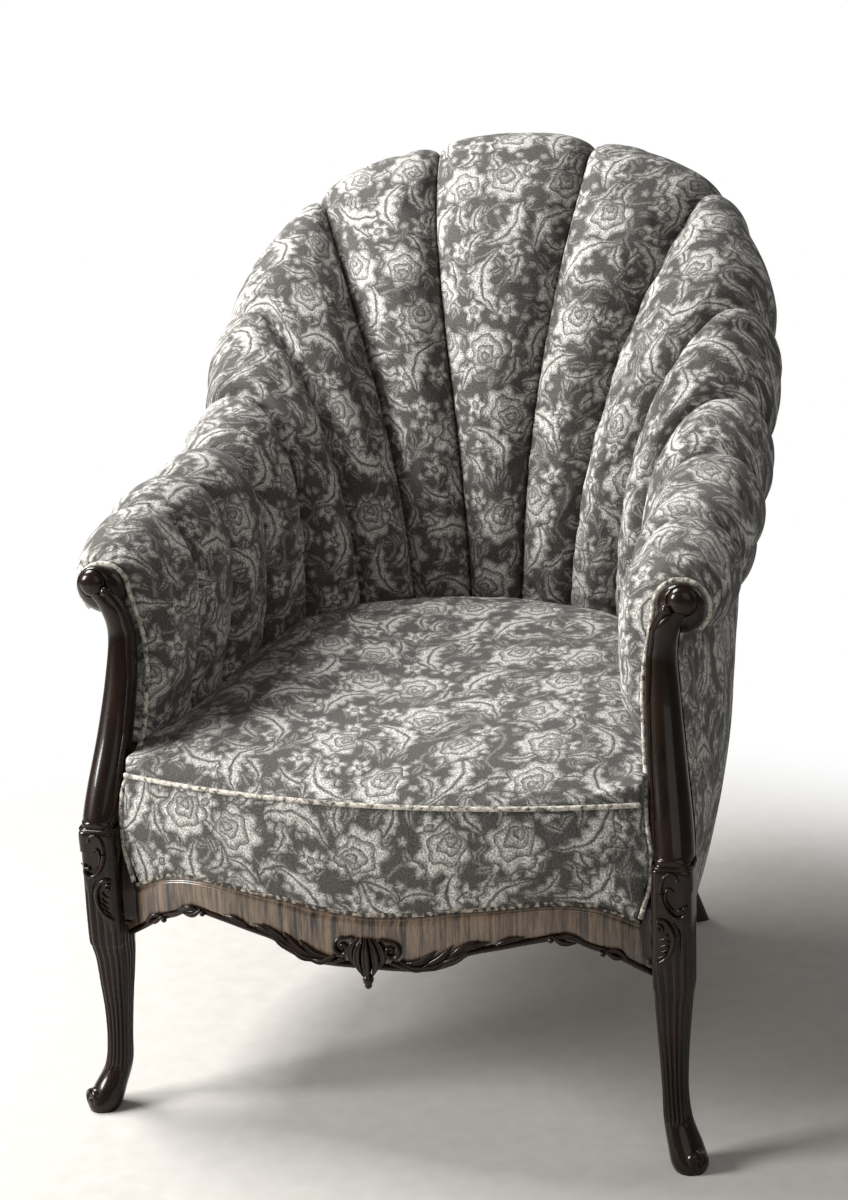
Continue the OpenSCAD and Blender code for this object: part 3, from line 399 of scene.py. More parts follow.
def front_leg(side, name):
    bm = bmesh.new()
    rings = []
    for j in range(LEG_ROWS + 1):
        dx, dy, z, w, square = (through([s[i] for s in LEG], j / LEG_ROWS) for i in range(5))
        z = min(max(z, 0), KNEE_TOP)
        deep = w * mix(1, KNEE_D / KNEE_W, clamp((z - ROUND_TO) / 30))
        ring = []
        for k, (p, way) in enumerate(squircle(w, deep, square, FLUTES * 8)):
            rib = abs(math.sin(math.pi * k / 8)) ** 0.75
            top = FLUTE_HIGH - (UNDER_LEAF * clamp((8 - p.x) / 12) if p.y < 0 else 0)
            cut = FLUTE_DEPTH * window(z, FLUTE_LOW, top, 14)
            ring.append(Vector((KNEE_X + dx, KNEE_Y + dy, z)) + p - way * cut * (1 - rib))
        rings.append(ring)
    skin(bm, rings)
    # The block behind the facing, which the rails are dowelled to
    front, back = bow(FACING_HALF) + FACING_T, bow(BLOCK_IN) + FACING_T + RAIL_T + 2
    block = bmesh.ops.create_cube(bm, size=1)["verts"]
    bmesh.ops.transform(bm, verts=block, matrix=Matrix.Translation(
        (BLOCK_IN + RAIL_T / 2, (front + back) / 2, (RAIL_UNDER + RAIL_TOP) / 2))
        @ Matrix.Diagonal((RAIL_T, back - front, RAIL_TOP - RAIL_UNDER, 1)))
    bmesh.ops.bevel(bm, geom=list({e for v in block for e in v.link_edges}), offset=1, segments=2,
        profile=0.5, affect="EDGES", material=-1)
    # The scroll foot: a curl on each side of the toe, and its eye
    toe = Matrix.Translation(Vector((KNEE_X, KNEE_Y, 0)) + Vector(TOE)) @ Matrix.Rotation(
        math.radians(45), 4, "Z")
    for way in (-1, 1):
        curl = [toe @ Vector((x, (2 - TOE_HALF) * way, z)) for x, z in spiral(0, 0, 10.5, 2, 100, -1.4, 40)]
        sweep(bm, curl, [3, 2.6, 1.6], [4.5, 4, 2.5], out=toe.to_3x3() @ Vector((0, -way, 0)))
        ball(bm, toe @ Vector((0, -TOE_HALF * way, 0)), 3)
    skin(bm, [[toe @ Vector((r * math.cos(a), y, r * math.sin(a))) for a in circle(40)]
        for y, r in [(-TOE_HALF, 0), (-TOE_HALF, 9), (-9, 12), (-4, 12.7), (4, 12.7), (9, 12),
            (TOE_HALF, 9), (TOE_HALF, 0)]])
    # The hollow that eases the knee into the facing
    rings = []
    for j in range(41):
        z = mix(219, KNEE_TOP - 0.2, j / 40)
        inner, outer = knee_edge(z) - KNEE_X, HOLLOW_OUT - KNEE_W / 2
        face = [knee_front(mix(inner, outer, i / 12), z, 0) for i in range(13)]
        inside = face[0].y + 8
        rings.append(face + [Vector((face[-1].x, inside, z)), Vector((face[0].x, inside, z))])
    skin(bm, rings)
    # The C-scroll that ends the facing, with ribs inside it, a line beside it and a leaf below
    raised_line(bm, [(-12, 272), (-11, 269), (-8, 270), (-9, 275), (-13, 276), (-17, 273), (-17, 277),
        (-12, 281), (-5, 280), (0, 274), (3, 266), (3, 258), (1, 250), (-4, 241), (-10, 236), (-14, 235)],
        [1.5, 1.5, 1.8, 2.3, 2.6, 2.6, 2.4, 1.5], [2.4, 2.4, 3, 3.8, 4, 4, 3.6, 2.4])
    for end in [(-3, 266), (-2, 259), (-2, 253), (-5, 246)]:
        raised_line(bm, [end, (end[0] - 3, end[1] - 4), (end[0] - 8, end[1] - 6)],
            [1.5, 1.2, 0.4], [2.2, 1.8, 0.5])
    raised_line(bm, [(3, 279), (7, 273), (10, 262)], [0.5, 1, 0.4], [0.6, 1.4, 0.5])
    raised_line(bm, [(-13, 235), (-19, 226), (-29, 221)], [1.6, 2.2, 0.4], [2.4, 3, 0.5])
    s_scroll(bm, 0, KNEE_TOP)
    raised_line(bm, [(11, 292), (15, 297), (20, 299)], [1, 1.6, 0.3], [1.4, 2.4, 0.4])
    for x, z, r in [(10, 293.5, 2.8), (-11, 270, 1.8), (-15, 236, 2)]:
        ball(bm, knee_front(x, z, 1.5), r)
    stand(name, bm, walnut, [name.replace("carved_", "")], side)


front_leg(1, "carved_front_leg_right")
front_leg(-1, "carved_front_leg_left")

# The arm posts: the same walnut, dowelled to the legs. Each bulges forward above its collar,
# narrows to the waist and ends in a turned-over scroll, with a thin moulding down its inner edge.
ARM_H, POST_W, VOLUTE_T = 593, 36, 30
POST_X = KNEE_X + 1
COLLAR_Z, COLLAR_R, POST_ROWS = KNEE_TOP + 25, 1.9, 120
UP = Vector((0, 0, 1))


def post_z(share):
    return mix(KNEE_TOP, ARM_H, share)


# Each stage of the post: its middle [x, y, z], its width as a share of the waist's, and its depth
POST = [(POST_X, KNEE_Y - 1, KNEE_TOP, 1.19, 49), (POST_X, KNEE_Y - 2, KNEE_TOP + 20, 1.19, 48),
    (POST_X, KNEE_Y - 2, KNEE_TOP + 27, 1.04, 41), (POST_X, KNEE_Y - 1, KNEE_TOP + 33, 1.14, 43),
    (KNEE_X, KNEE_Y + 2, post_z(0.15), 1.19, 44), (KNEE_X - 3, -32, post_z(0.246), 1.19, 43),
    (KNEE_X - 10, -14, post_z(0.448), 1.1, 38),
    (KNEE_X - 15.5, 0, post_z(0.658), 0.98, 34), (KNEE_X - 17, 6, post_z(0.829), 0.82, 31),
    (KNEE_X - 12, 1, post_z(0.936), 0.84, 30), (KNEE_X, 0, ARM_H, 0.9, 30)]
VOLUTE = Vector((KNEE_X + 2, 0, ARM_H))
# Hoops of the scroll's barrel, from its back to its eye: their middle's [y, x, z] from the
# scroll's, and their radius
BARREL = [(15, 0, 0, 0), (15, 0, 0, 24), (13, 0, 0, 26.6), (8, 0.3, 0.5, 27), (2, 1, 3, 26),
    (-4, 2, 6, 23.5), (-8, 3, 9, 20), (-10.5, 3.5, 11, 16.5), (-9.6, 4, 11.5, 15.4),
    (-12, 4, 11.5, 14.6), (-15.5, 4, 11.5, 12), (-18, 4, 11.5, 7.5), (-19.3, 4, 11.5, 0)]


def post_stage(z, i):
    """One value of the post at a height, on straight lines between its stages, as in the frame."""
    k = min(max(bisect.bisect_right([s[2] for s in POST], z) - 1, 0), len(POST) - 2)
    share = clamp((z - POST[k][2]) / (POST[k + 1][2] - POST[k][2]))
    return mix(POST[k][i], POST[k + 1][i], share)


def post_edge(z):
    """The post's inner back edge at a height."""
    return (post_stage(z, 0) - post_stage(z, 3) * POST_W / 2 - 0.5,
        post_stage(z, 1) + post_stage(z, 4) / 2 + GAP)


def arm_post(side, name):
    bm = bmesh.new()
    rings = []
    for j in range(POST_ROWS + 1):
        x, y, z, w, d = (through([s[i] for s in POST], j / POST_ROWS) for i in range(5))
        square = mix(6, 2.15, clamp((z - KNEE_TOP - 22) / 12))
        rings.append([Vector((x, y, z)) + p for p, way in squircle(w * POST_W, d, square, 72)])
    skin(bm, rings)
    # The collar: a small round round the foot of the swell
    rings = []
    for p, away in squircle(1.17 * POST_W, 46, 3.4, 96):
        middle = Vector((POST_X, KNEE_Y - 2, COLLAR_Z)) + p
        rings.append([middle + COLLAR_R * (math.cos(a) * away + math.sin(a) * UP) for a in circle(12)])
    made = lay(bm, 96, 12, lambda u, v: rings[round(u * 96) % 96][round(v * 12) % 12])
    bmesh.ops.remove_doubles(bm, verts=made, dist=1e-4)
    s_scroll(bm, KNEE_TOP, ARM_H)
    ball(bm, knee_front(8, 326, 1.5), 2)
    # The scroll: a barrel that narrows forwards and upwards to a domed eye
    hoops = [through([Vector(b) for b in BARREL], j / 72) for j in range(73)]
    skin(bm, [[VOLUTE + Vector((h.y + h.w * math.cos(a), h.x, h.z + h.w * math.sin(a)))
        for a in circle(72)] for h in hoops])
    # The round down the inner edge, which ends in a ball beside the eye
    edge = []
    for i in range(60):
        z = mix(KNEE_TOP + 36, 574, i / 59)
        w, d = post_stage(z, 3) * POST_W / 2, post_stage(z, 4) / 2
        edge.append(Vector((post_stage(z, 0) - w * 0.84, post_stage(z, 1) - d * 0.6, z)))
    edge += [VOLUTE + Vector((-21, -10, -8)), VOLUTE + Vector((-15, -13, 1))]
    edge = [through(edge, i / 160) for i in range(161)]
    sweep(bm, edge, [0.6, 3.2, 3.6, 3.8, 4.4, 4.2], [0.8, 2.4, 2.8, 3, 3.2, 3], sides=14,
        out=Vector((-0.8, -0.6, 0)))
    ball(bm, VOLUTE + Vector((-12, -13, 3)), 6)
    stand(name, bm, walnut, [name.replace("carved_", "")], side)


arm_post(1, "carved_arm_post_right")
arm_post(-1, "carved_arm_post_left")

# The rail's facing: a serpentine strip veneered with ribbon-grain wood, whose figure runs up and
# down in light and dark streaks. A hollow along its top meets the gimp, and a bead edges it below.
FACING_TOP = [(0, 272), (57, 276), (93, 282), (125, 284), (160, 288), (200, 290), (234, 287),
    (258, 278), (285, 266), (310, 262)]
FACING_BOTTOM = [(0, 219), (60, 220), (91, 229), (108, 240), (140, 247), (175, 254), (209, 258),
    (233, 247), (255, 238), (280, 222), (310, 204)]
BEAD_D, RIBBON_MM = 7, 7


def edge_height(table):
    """Gives an edge's height at any distance from the centre, on a smooth curve through its points."""
    line = smooth_line(table, 200)
    xs = [p.x for p in line]

    def height(x):
        i = min(max(bisect.bisect_right(xs, abs(x)) - 1, 0), 199)
        return mix(line[i].y, line[i + 1].y, (abs(x) - xs[i]) / (xs[i + 1] - xs[i]))
    return height


upper_edge, lower_edge = edge_height(FACING_TOP), edge_height(FACING_BOTTOM)
# The facing's front from its lower to its upper edge: share of the height, and how far it is proud
FACING_FRONT = [(0, -3.5), (0.03, -0.5), (0.12, 1.2), (0.4, 1.8), (0.7, 1.4), (0.86, 0.8), (0.9, -1.2),
    (0.95, -1.4), (0.98, 0.6), (1, -1)]
veneer, tree = new_material("ribbon_grain_veneer")
place = add(tree, "TexCoord")["Object"]
upright = add(tree, "VectorMath", place, (1, 0.2, 0.06), operation="MULTIPLY")[0]
wave = add(tree, "TexNoise", {"Vector": upright, "Scale": 12, "Detail": 3})["Fac"]
bent = add(tree, "VectorMath", wave, [0.02] * 3, upright, operation="MULTIPLY_ADD")[0]
ribbons = add(tree, "TexNoise", {"Vector": bent, "Scale": 1000 / RIBBON_MM, "Detail": 5,
    "Roughness": 0.75})["Fac"]
tone = add(tree, "ValToRGB", ribbons, stops=[(0.38, colour("#120d0a")), (0.64, colour("#7a6552")),
    (0.641, colour("#2e231b"))])[0]
rough = add(tree, "MapRange", {"Value": ribbons, "To Min": 0.36, "To Max": 0.24})[0]
relief = add(tree, "Bump", {"Height": ribbons, "Strength": 0.08, "Distance": 0.0005})[0]
add(tree, "OutputMaterial", add(tree, "BsdfPrincipled", {"Base Color": tone, "Roughness": rough,
    "Normal": relief, "Coat Weight": 0.6, "Coat Roughness": 0.16, "Coat IOR": 1.5})[0])

bm = bmesh.new()
loops = []
for i in range(181):
    x = mix(-FACING_HALF, FACING_HALF, i / 180)
    low, high = lower_edge(x), upper_edge(x)
    loops.append([Vector((x, bow(x) - p.y, mix(low, high, p.x))) for p in smooth_line(FACING_FRONT, 36)]
        + [Vector((x, bow(x) + FACING_T, z)) for z in (high, mix(low, high, 0.5), low)])
skin(bm, loops)
stand("veneered_facing", bm, veneer, ["rail_facing"])

bm = bmesh.new()
bead_line = [Vector((x, bow(x) + 3, lower_edge(x) - 1.02 * BEAD_D / 2))
    for x in [mix(-FACING_HALF + 2, FACING_HALF - 2, i / 240) for i in range(241)]]
sweep(bm, bead_line, BEAD_D / 2, BEAD_D / 2, sides=14)
stand("lower_bead", bm, walnut, ["rail_bead"])

# The carving on the rail: a shell of five lobes over a pendant, a C-scroll to each side of it,
# and from each scroll a stem of overlapping leaves that dies out along the lower edge. All of it
# is cut from the same walnut, laid on the facing and polished.


def on_facing(x, z, proud):
    """A point proud of the facing's front."""
    return Vector((x, bow(x) - 1 - proud, z))


def curve(points, steps, proud=1.5):
    """A smooth line through points on the facing."""
    return [on_facing(p.x, p.y, proud) for p in smooth_line(points, steps)]


def leaf(bm, points, width, height, proud=1.5, groove=0.45):
    """A carved leaf: narrow at its base, full in the middle and drawn to a tip, with a cut vein."""
    sweep(bm, curve(points, 28, proud), [0.3 * width, 0.8 * width, width, 0.8 * width, 0.1 * width],
        [0.5 * height, 0.9 * height, height, 0.7 * height, 0.2 * height], sides=20, groove=groove)


bm = bmesh.new()
leaf(bm, [(0, 250), (0, 236), (0, 218), (0, 201)], 5.4, 10, 3)
for side in (-1, 1):
    leaf(bm, [(4 * side, 250), (9 * side, 238), (10 * side, 222), (5 * side, 206)], 4.8, 8.5, 2.5)
    leaf(bm, [(9 * side, 249), (16 * side, 241), (18 * side, 229), (13 * side, 216)], 4.2, 7, 2)
    # The C-scroll rises from the shell and winds in to a deep eye
    scroll = [(12 * side, 247), (17 * side, 250)]
    scroll += spiral(27 * side, 237, 11.5, 3, 90 + 18 * side, -1.2 * side, 56)
    sweep(bm, [on_facing(x, z, 2) for x, z in scroll], [1.6, 2.6, 3, 2.6, 2], [3, 5, 5.4, 4.6, 3.6])
    ball(bm, on_facing(27 * side, 237, 2), 3.4)
for z, r in [(203, 6), (196.5, 4)]:
    ball(bm, on_facing(0, z, 2), r, (1, 1.1, 1.15))
stand("carved_shell", bm, walnut, ["rail_cartouche"])

# Leaves of one stem: each one's base, middle and tip, its half width and its rise
STEM_LEAVES = [((36, 226), (52, 219), (70, 221), 4, 7), ((42, 224), (60, 228), (76, 240), 3.6, 6),
    ((56, 220), (74, 222), (92, 233), 3.8, 6.5), ((62, 223), (80, 233), (94, 247), 3.4, 6),
    ((78, 226), (96, 233), (112, 246), 3.6, 6), ((86, 232), (102, 244), (120, 253), 3, 5),
    ((100, 240), (116, 247), (132, 251), 3, 4.5)]
# Small leaves further along the edge, singly and in pairs
EDGE_LEAVES = [((138, 248), (152, 254), (168, 256), 3, 4), ((196, 257), (206, 250), (220, 249), 3.2, 4.5),
    ((200, 256), (213, 257), (226, 252), 3, 4), ((248, 240), (258, 232), (268, 230), 3, 4.5),
    ((250, 240), (262, 238), (272, 226), 2.8, 4)]
for side, name in [(-1, "left"), (1, "right")]:
    bm = bmesh.new()
    stem = [(26, 223), (44, 219), (64, 221), (84, 230), (102, 241), (124, 249)]
    sweep(bm, curve(stem, 70, 1), [2, 3, 3, 2.6, 2, 1], [3, 4, 4, 3.5, 3, 1.5])
    for base, middle, tip, width, rise in STEM_LEAVES + EDGE_LEAVES:
        leaf(bm, [base, middle, tip], width, rise)
    for x, z in [(194, 253), (246, 236)]:
        ball(bm, on_facing(x, z, 1.5), 3.2)
    stand("carved_leaves_" + name, bm, walnut, ["rail_carving_" + name], side)

# The seat: a tight cover over hair and springs, crowned in the middle, with a front border below
# the piping. The cloth is a figured cut velvet: a pale pile of flowers and scrolling leaves that
# stands up from a darker woven ground, so the figure is soft edged and catches the light.
SEAT_H, SEAT_CROWN, BACK_RISE, SEAT_FOOT_Z = 396, 58, 44, 417
ARM_THICK, BACK_THICK, CORD_R, GIMP_W = 46, 87, 2.7, 4.5
WELL_W, WELL_D = FRAME_W - 2 * ARM_THICK, FRAME_D - BACK_THICK
# Half the outline of the well at the seams, from the middle of the back to the arm's front
SEAM_FOOT = [(0.123, 1), (0.377, 0.962), (0.616, 0.913), (0.836, 0.805), (0.948, 0.632),
    (0.993, 0.427), (1, 0.229)]
# Which way the back or arm faces at each seam, in degrees from straight back
SEAM_TURN = [7, 30, 60, 75, 83, 88, 90, 90]
GROUND, PILE = "#2a2621", "#fbf8f1"
# Coarser than real threads so that they show
VELVET_THREAD_MM = 1.4


def seam_foot(n):
    """Where a seam starts at the seat."""
    if n == 7:
        x, y = post_edge(SEAT_FOOT_Z)
        return Vector((x, y, SEAT_FOOT_Z))
    return Vector((SEAM_FOOT[n][0] * WELL_W / 2, SEAM_FOOT[n][1] * WELL_D, SEAT_FOOT_Z))


velvet, tree = new_material("figured_cut_velvet")


def scattered(place, size, spread, shift):
    """One row of motifs, about size mm apart: place seen from each motif's middle, turned its own way."""
    moved = add(tree, "VectorMath", place, shift)[0]
    cell = add(tree, "TexVoronoi", {"Vector": moved, "Scale": 1 / size, "Randomness": spread},
        voronoi_dimensions="2D")
    own = add(tree, "VectorMath", moved, cell["Position"], operation="SUBTRACT")[0]
    chance = add(tree, "SeparateColor", cell["Color"])
    turn = add(tree, "Math", chance[0], math.tau, operation="MULTIPLY")[0]
    own = add(tree, "VectorRotate", {"Vector": own, "Angle": turn}, rotation_type="Z_AXIS")[0]
    return own, chance


def leaf_inside(own, length, width, bend, lobe):
    """How far inside a curved, lobed leaf a place is, in mm. length and width are halves."""
    x, y = add(tree, "SeparateXYZ", own)[:2]
    t = add(tree, "Math", y, length, operation="DIVIDE")[0]
    tt = add(tree, "Math", t, t, operation="MULTIPLY")[0]
    lean = add(tree, "Math", add(tree, "Math", tt, 0.4, operation="SUBTRACT")[0], bend,
        operation="MULTIPLY")[0]
    off = add(tree, "Math", x, lean, operation="SUBTRACT")[0]
    off = add(tree, "Math", off, operation="ABSOLUTE")[0]
    body = add(tree, "Math", 1, tt, operation="SUBTRACT", use_clamp=True)[0]
    body = add(tree, "Math", body, 0.7, operation="POWER")[0]
    taper = add(tree, "Math", t, -0.38, 1, operation="MULTIPLY_ADD")[0]
    swing = add(tree, "Math", add(tree, "Math", y, math.tau / lobe, operation="MULTIPLY")[0],
        operation="SINE")[0]
    lobes = add(tree, "Math", swing, 0.17, 0.93, operation="MULTIPLY_ADD")[0]
    wide = add(tree, "Math", add(tree, "Math", body, taper, operation="MULTIPLY")[0],
        add(tree, "Math", lobes, width, operation="MULTIPLY")[0], operation="MULTIPLY")[0]
    blade = add(tree, "Math", add(tree, "Math", wide, off, operation="SUBTRACT")[0], 0.7,
        operation="SUBTRACT")[0]
    # The midrib is a cut: beside it the blade counts as little inside as at its rim
    rib = add(tree, "Math", off, 3, -2.4, operation="MULTIPLY_ADD")[0]
    return add(tree, "Math", blade, rib, operation="MINIMUM")[0]


def flower_inside(own, radius, petals, depth, sink):
    """How far inside a lobed round a place is, in mm. sink moves its middle down."""
    moved = add(tree, "VectorMath", own, (0, sink, 0))[0]
    r = add(tree, "VectorMath", moved, operation="LENGTH")["Value"]
    x, y = add(tree, "SeparateXYZ", moved)[:2]
    a = add(tree, "Math", add(tree, "Math", y, x, operation="ARCTAN2")[0], petals, sink,
        operation="MULTIPLY_ADD")[0]
    rim = add(tree, "Math", add(tree, "Math", a, operation="COSINE")[0], depth * radius,
        (1 - depth) * radius, operation="MULTIPLY_ADD")[0]
    return add(tree, "Math", rim, r, operation="SUBTRACT")[0]


def over(below, above, edge):
    """Lays one motif over what is below it, with a dark contour of width edge round it."""
    covers = add(tree, "Math", above, -edge, operation="GREATER_THAN")[0]
    return add(tree, "Mix", {0: covers, 2: below, 3: above})[0]


def pick(chance, share, first, second):
    """The first of two motifs for a share of the places, and the second one for the others."""
    which = add(tree, "Math", chance, share, operation="GREATER_THAN")[0]
    return add(tree, "Mix", {0: which, 2: first, 3: second})[0]


cut = add(tree, "Attribute", attribute_name="cut")["Vector"]
wander = add(tree, "TexNoise", {"Vector": cut, "Scale": 0.05, "Detail": 3}, noise_dimensions="2D")["Color"]
cloth = add(tree, "VectorMath", wander, (9, 9, 0), cut, operation="MULTIPLY_ADD")[0]
# Stems: the contour lines of a slow noise
stems = add(tree, "TexNoise", {"Vector": cloth, "Scale": 0.016, "Detail": 0}, noise_dimensions="2D")["Fac"]
stems = add(tree, "Math", stems, 0.5, operation="SUBTRACT")[0]
stems = add(tree, "Math", stems, operation="ABSOLUTE")[0]
inside = add(tree, "Math", stems, -85, 1.7, operation="MULTIPLY_ADD")[0]
# Berries and small leaves
own, chance = scattered(cloth, 22, 0.7, (310, 90, 0))
berry = flower_inside(own, 6.5, 5, 0.1, 0)
small = leaf_inside(own, 11.5, 5.5, 3, 40)
inside = over(inside, pick(chance[1], 0.4, berry, small), 1)
# Curled leaves and five-lobed blossoms
own, chance = scattered(cloth, 40, 0.5, (20, 140, 0))
curled = leaf_inside(own, 26, 10, 12, 12)
blossom = over(flower_inside(own, 17, 5, 0.22, 0), flower_inside(own, 5, 5, 0.1, 0), 0.7)
inside = over(inside, pick(chance[1], 0.3, blossom, curled), 1.3)
# Large roses of three rounds of petals, and large scrolled leaves
own, chance = scattered(cloth, 74, 0.4, (0, 0, 0))
rose = flower_inside(own, 32, 7, 0.11, 0)
for radius, petals, sink in [(22, 5, 5), (13, 4, 9), (6, 3, 12)]:
    rose = over(rose, flower_inside(own, radius, petals, 0.1, sink), 0.6)
scrolled = leaf_inside(own, 42, 16, 24, 14)
inside = over(inside, pick(chance[1], 0.42, rose, scrolled), 1.5)

# The pile: ragged at each outline, paler inwards in uneven tufts, and shorn lower at its heart
fuzz = add(tree, "TexNoise", {"Vector": cut, "Scale": 0.9, "Detail": 2}, noise_dimensions="2D")["Fac"]
ragged = add(tree, "Math", fuzz, 0.9, inside, operation="MULTIPLY_ADD")[0]
depth_in = add(tree, "MapRange", {"Value": ragged, "From Min": -0.55, "From Max": 9.45})[0]
pile = add(tree, "ValToRGB", depth_in, stops=[(0, (0.06, 0.06, 0.06, 1)), (0.999, (0.619, 0.619, 0.619, 1)),
    (1, (0.5, 0.5, 0.5, 1))])[0]
tufts = add(tree, "TexNoise", {"Vector": cut, "Scale": 0.45, "Detail": 2}, noise_dimensions="2D")["Fac"]
tufts = add(tree, "MapRange", {"Value": tufts, "From Min": 0.36, "From Max": 0.62, "To Min": 0.5,
    "To Max": 1.35})[0]
pile = add(tree, "Math", pile, tufts, operation="MULTIPLY", use_clamp=True)[0]
x, y = add(tree, "SeparateXYZ", add(tree, "VectorMath", cut, [math.pi / VELVET_THREAD_MM] * 3,
    operation="MULTIPLY")[0])[:2]
warp = add(tree, "Math", add(tree, "Math", x, operation="SINE")[0], operation="ABSOLUTE")[0]
weft = add(tree, "Math", add(tree, "Math", y, operation="SINE")[0], operation="ABSOLUTE")[0]
threads = add(tree, "Math", warp, weft, operation="MULTIPLY")[0]
tone = add(tree, "ValToRGB", pile, stops=[(0, colour(GROUND)), (1, colour(PILE))])[0]
shade = add(tree, "MapRange", {"Value": threads, "To Min": 0.8, "To Max": 1.1})[0]
tone = add(tree, "VectorMath", {0: tone, "Scale": shade}, operation="SCALE")[0]
height = add(tree, "Math", threads, 0.35, pile, operation="MULTIPLY_ADD")[0]
relief = add(tree, "Bump", {"Height": height, "Strength": 0.6, "Distance": 0.0014})[0]
add(tree, "OutputMaterial", add(tree, "BsdfPrincipled", {"Base Color": tone, "Roughness": 0.78,
    "Normal": relief, "Sheen Weight": 0.12, "Sheen Roughness": 0.4, "Specular IOR Level": 0.25})[0])


CLOTH_FRAMES = 16


def swell(covers, pressure, slack, furthest):
    """Lets covers swell as cloth held where their "held" layer is 1. They are bmeshes in mm."""
    joined = bmesh.new()
    for bm in covers:
        part = bpy.data.meshes.new("part")
        bm.to_mesh(part)
        joined.from_mesh(part)
    bmesh.ops.scale(joined, vec=[0.001] * 3, verts=joined.verts)
    held = [v[joined.verts.layers.float["held"]] for v in joined.verts]
    trial = bpy.data.objects.new("trial", bpy.data.meshes.new("trial"))
    bpy.context.scene.collection.objects.link(trial)
    joined.to_mesh(trial.data)
    joined.free()
    group = trial.vertex_groups.new(name="held")
    for i, weight in enumerate(held):
        if weight > 0:
            group.add([i], weight, "REPLACE")
    cloth = trial.modifiers.new("cloth", "CLOTH").settings
    cloth.quality, cloth.mass, cloth.air_damping = 5, 0.25, 4
    cloth.tension_stiffness = cloth.compression_stiffness = 14
    cloth.bending_stiffness = 0.6
    cloth.vertex_group_mass = "held"
    cloth.pin_stiffness = 1
    cloth.use_pressure, cloth.uniform_pressure_force = True, pressure
    cloth.shrink_min = cloth.shrink_max = -slack
    cloth.effector_weights.gravity = 0
    trial.modifiers["cloth"].point_cache.frame_start = 1
    trial.modifiers["cloth"].point_cache.frame_end = CLOTH_FRAMES
    for step in range(CLOTH_FRAMES):
        bpy.context.scene.frame_set(step + 1)
    bpy.context.view_layer.update()
    swollen = trial.evaluated_get(bpy.context.evaluated_depsgraph_get()).data
    points = [v.co * 1000 for v in swollen.vertices]
    at = 0
    for bm in covers:
        for i, v in enumerate(bm.verts):
            move = points[at + i] - v.co
            v.co += move * min(1, furthest / max(move.length, 1e-6))
        at += len(bm.verts)
    bpy.data.objects.remove(trial)
    bpy.context.scene.frame_set(1)


def cloth_grid(across, along):
    """A grid of cloth, with layers for how it is held and for its place on the form and the cloth."""
    bm = bmesh.new()
    layer = {name: bm.verts.layers.float.new(name) for name in ("held", "across", "along")}
    layer["cut"] = bm.verts.layers.float_vector.new("cut")
    made = bmesh.ops.create_grid(bm, x_segments=across, y_segments=along, size=0.5)["verts"]
    return bm, made, layer


def backed(bm):
    """Adds a cover's back, and gives the back's points, which still lie on the cover."""
    made = bmesh.ops.extrude_face_region(bm, geom=bm.faces[:], use_keep_orig=True)["geom"]
    return [v for v in made if isinstance(v, bmesh.types.BMVert)]


def lay_cloth(made, across, along, shift, layer):
    """Gives each point of a grid its place on the cloth, in mm, measured over the surface."""
    rows = [made[j * (across + 1):(j + 1) * (across + 1)] for j in range(along + 1)]
    middle = across // 2
    far_along = [[0] * (across + 1)]
    for below, above in zip(rows, rows[1:]):
        far_along.append([f + (b.co - a.co).length for f, a, b in zip(far_along[-1], below, above)])
    for row, heights in zip(rows, far_along):
        far = [0]
        for a, b in zip(row, row[1:]):
            far.append(far[-1] + (b.co - a.co).length)
        for v, x, y in zip(row, far, heights):
            v[layer] = (x - far[middle] + shift[0], y + shift[1], 0)


def wood_edge(z):
    """Where the seat's cover meets the knee or the post."""
    return knee_edge(max(z, 262)) if z < KNEE_TOP else post_edge(z)[0]


def well_side(share):
    """The well's outline from the arm's front, 0, round to the middle of the back, 1, as [x, y]."""
    line = [seam_foot(n) for n in range(7, -1, -1)]
    line[0].x -= 1.5
    line.append(Vector((0, WELL_D * 1.004, SEAT_FOOT_Z)))
    return through(line, share)


SEAT_ACROSS, SEAT_ALONG = 110, 132
BORDER_SHARE, TOP_SHARE = 0.2, 0.95
UNDER_SHARE, BORDER_T, BORDER_BULGE, TUCK_DEPTH = 0.985, 13, 6.5, 34


def seat_point(u, v):
    """A point of the seat's cover, across it and from the border's lower edge to the back tuck."""
    across = 2 * u - 1
    if v < BORDER_SHARE:
        t = v / BORDER_SHARE
        x = across * (wood_edge(mix(262, SEAT_H, t)) - 2 * CORD_R + 1.5)
        z = mix(upper_edge(x) + 1, SEAT_H, t)
        return Vector((x, bow(x) + 1 - BORDER_BULGE * math.sin(math.pi * t) ** 0.7, z))
    half, side = wood_edge(SEAT_H) - 1.5 * CORD_R, abs(across)
    t = min(1, (v - BORDER_SHARE) / (TOP_SHARE - BORDER_SHARE))
    front = Vector((across * half, bow(across * half), 0))
    back = well_side(1 - 0.62 * side ** 1.25)
    p = front.lerp(Vector((math.copysign(back.x, across), back.y, 0)), t)
    # The sides follow the well, not a straight line to the back
    flank = mix(half, well_side(0.38 * t ** 1.15).x, min(1, t * 5))
    p.x += across * side * max(0, flank - mix(half, well_side(0.38).x, t))
    # The last of it is pushed down under the foot of the arms' stuffing
    p.x += math.copysign(9 * window(t, 0.08, 2, 0.04) * window(side, 0.92, 2, 0.08), across)
    edge_z = mix(SEAT_H, SEAT_FOOT_Z + 1, min(1, max(side ** 4, t) * 1.2) if t > 0 else 0)
    crown = SEAT_H + SEAT_CROWN + BACK_RISE * (p.y - 0.43 * WELL_D) / (0.57 * WELL_D)
    full = ((1 - side ** 6) * (1 - abs(2 * t - 1) ** 7)) ** 0.5
    p.z = mix(edge_z, crown, full)
    if v > TOP_SHARE:
        p.z -= TUCK_DEPTH * (v - TOP_SHARE) / (1 - TOP_SHARE)
    return p


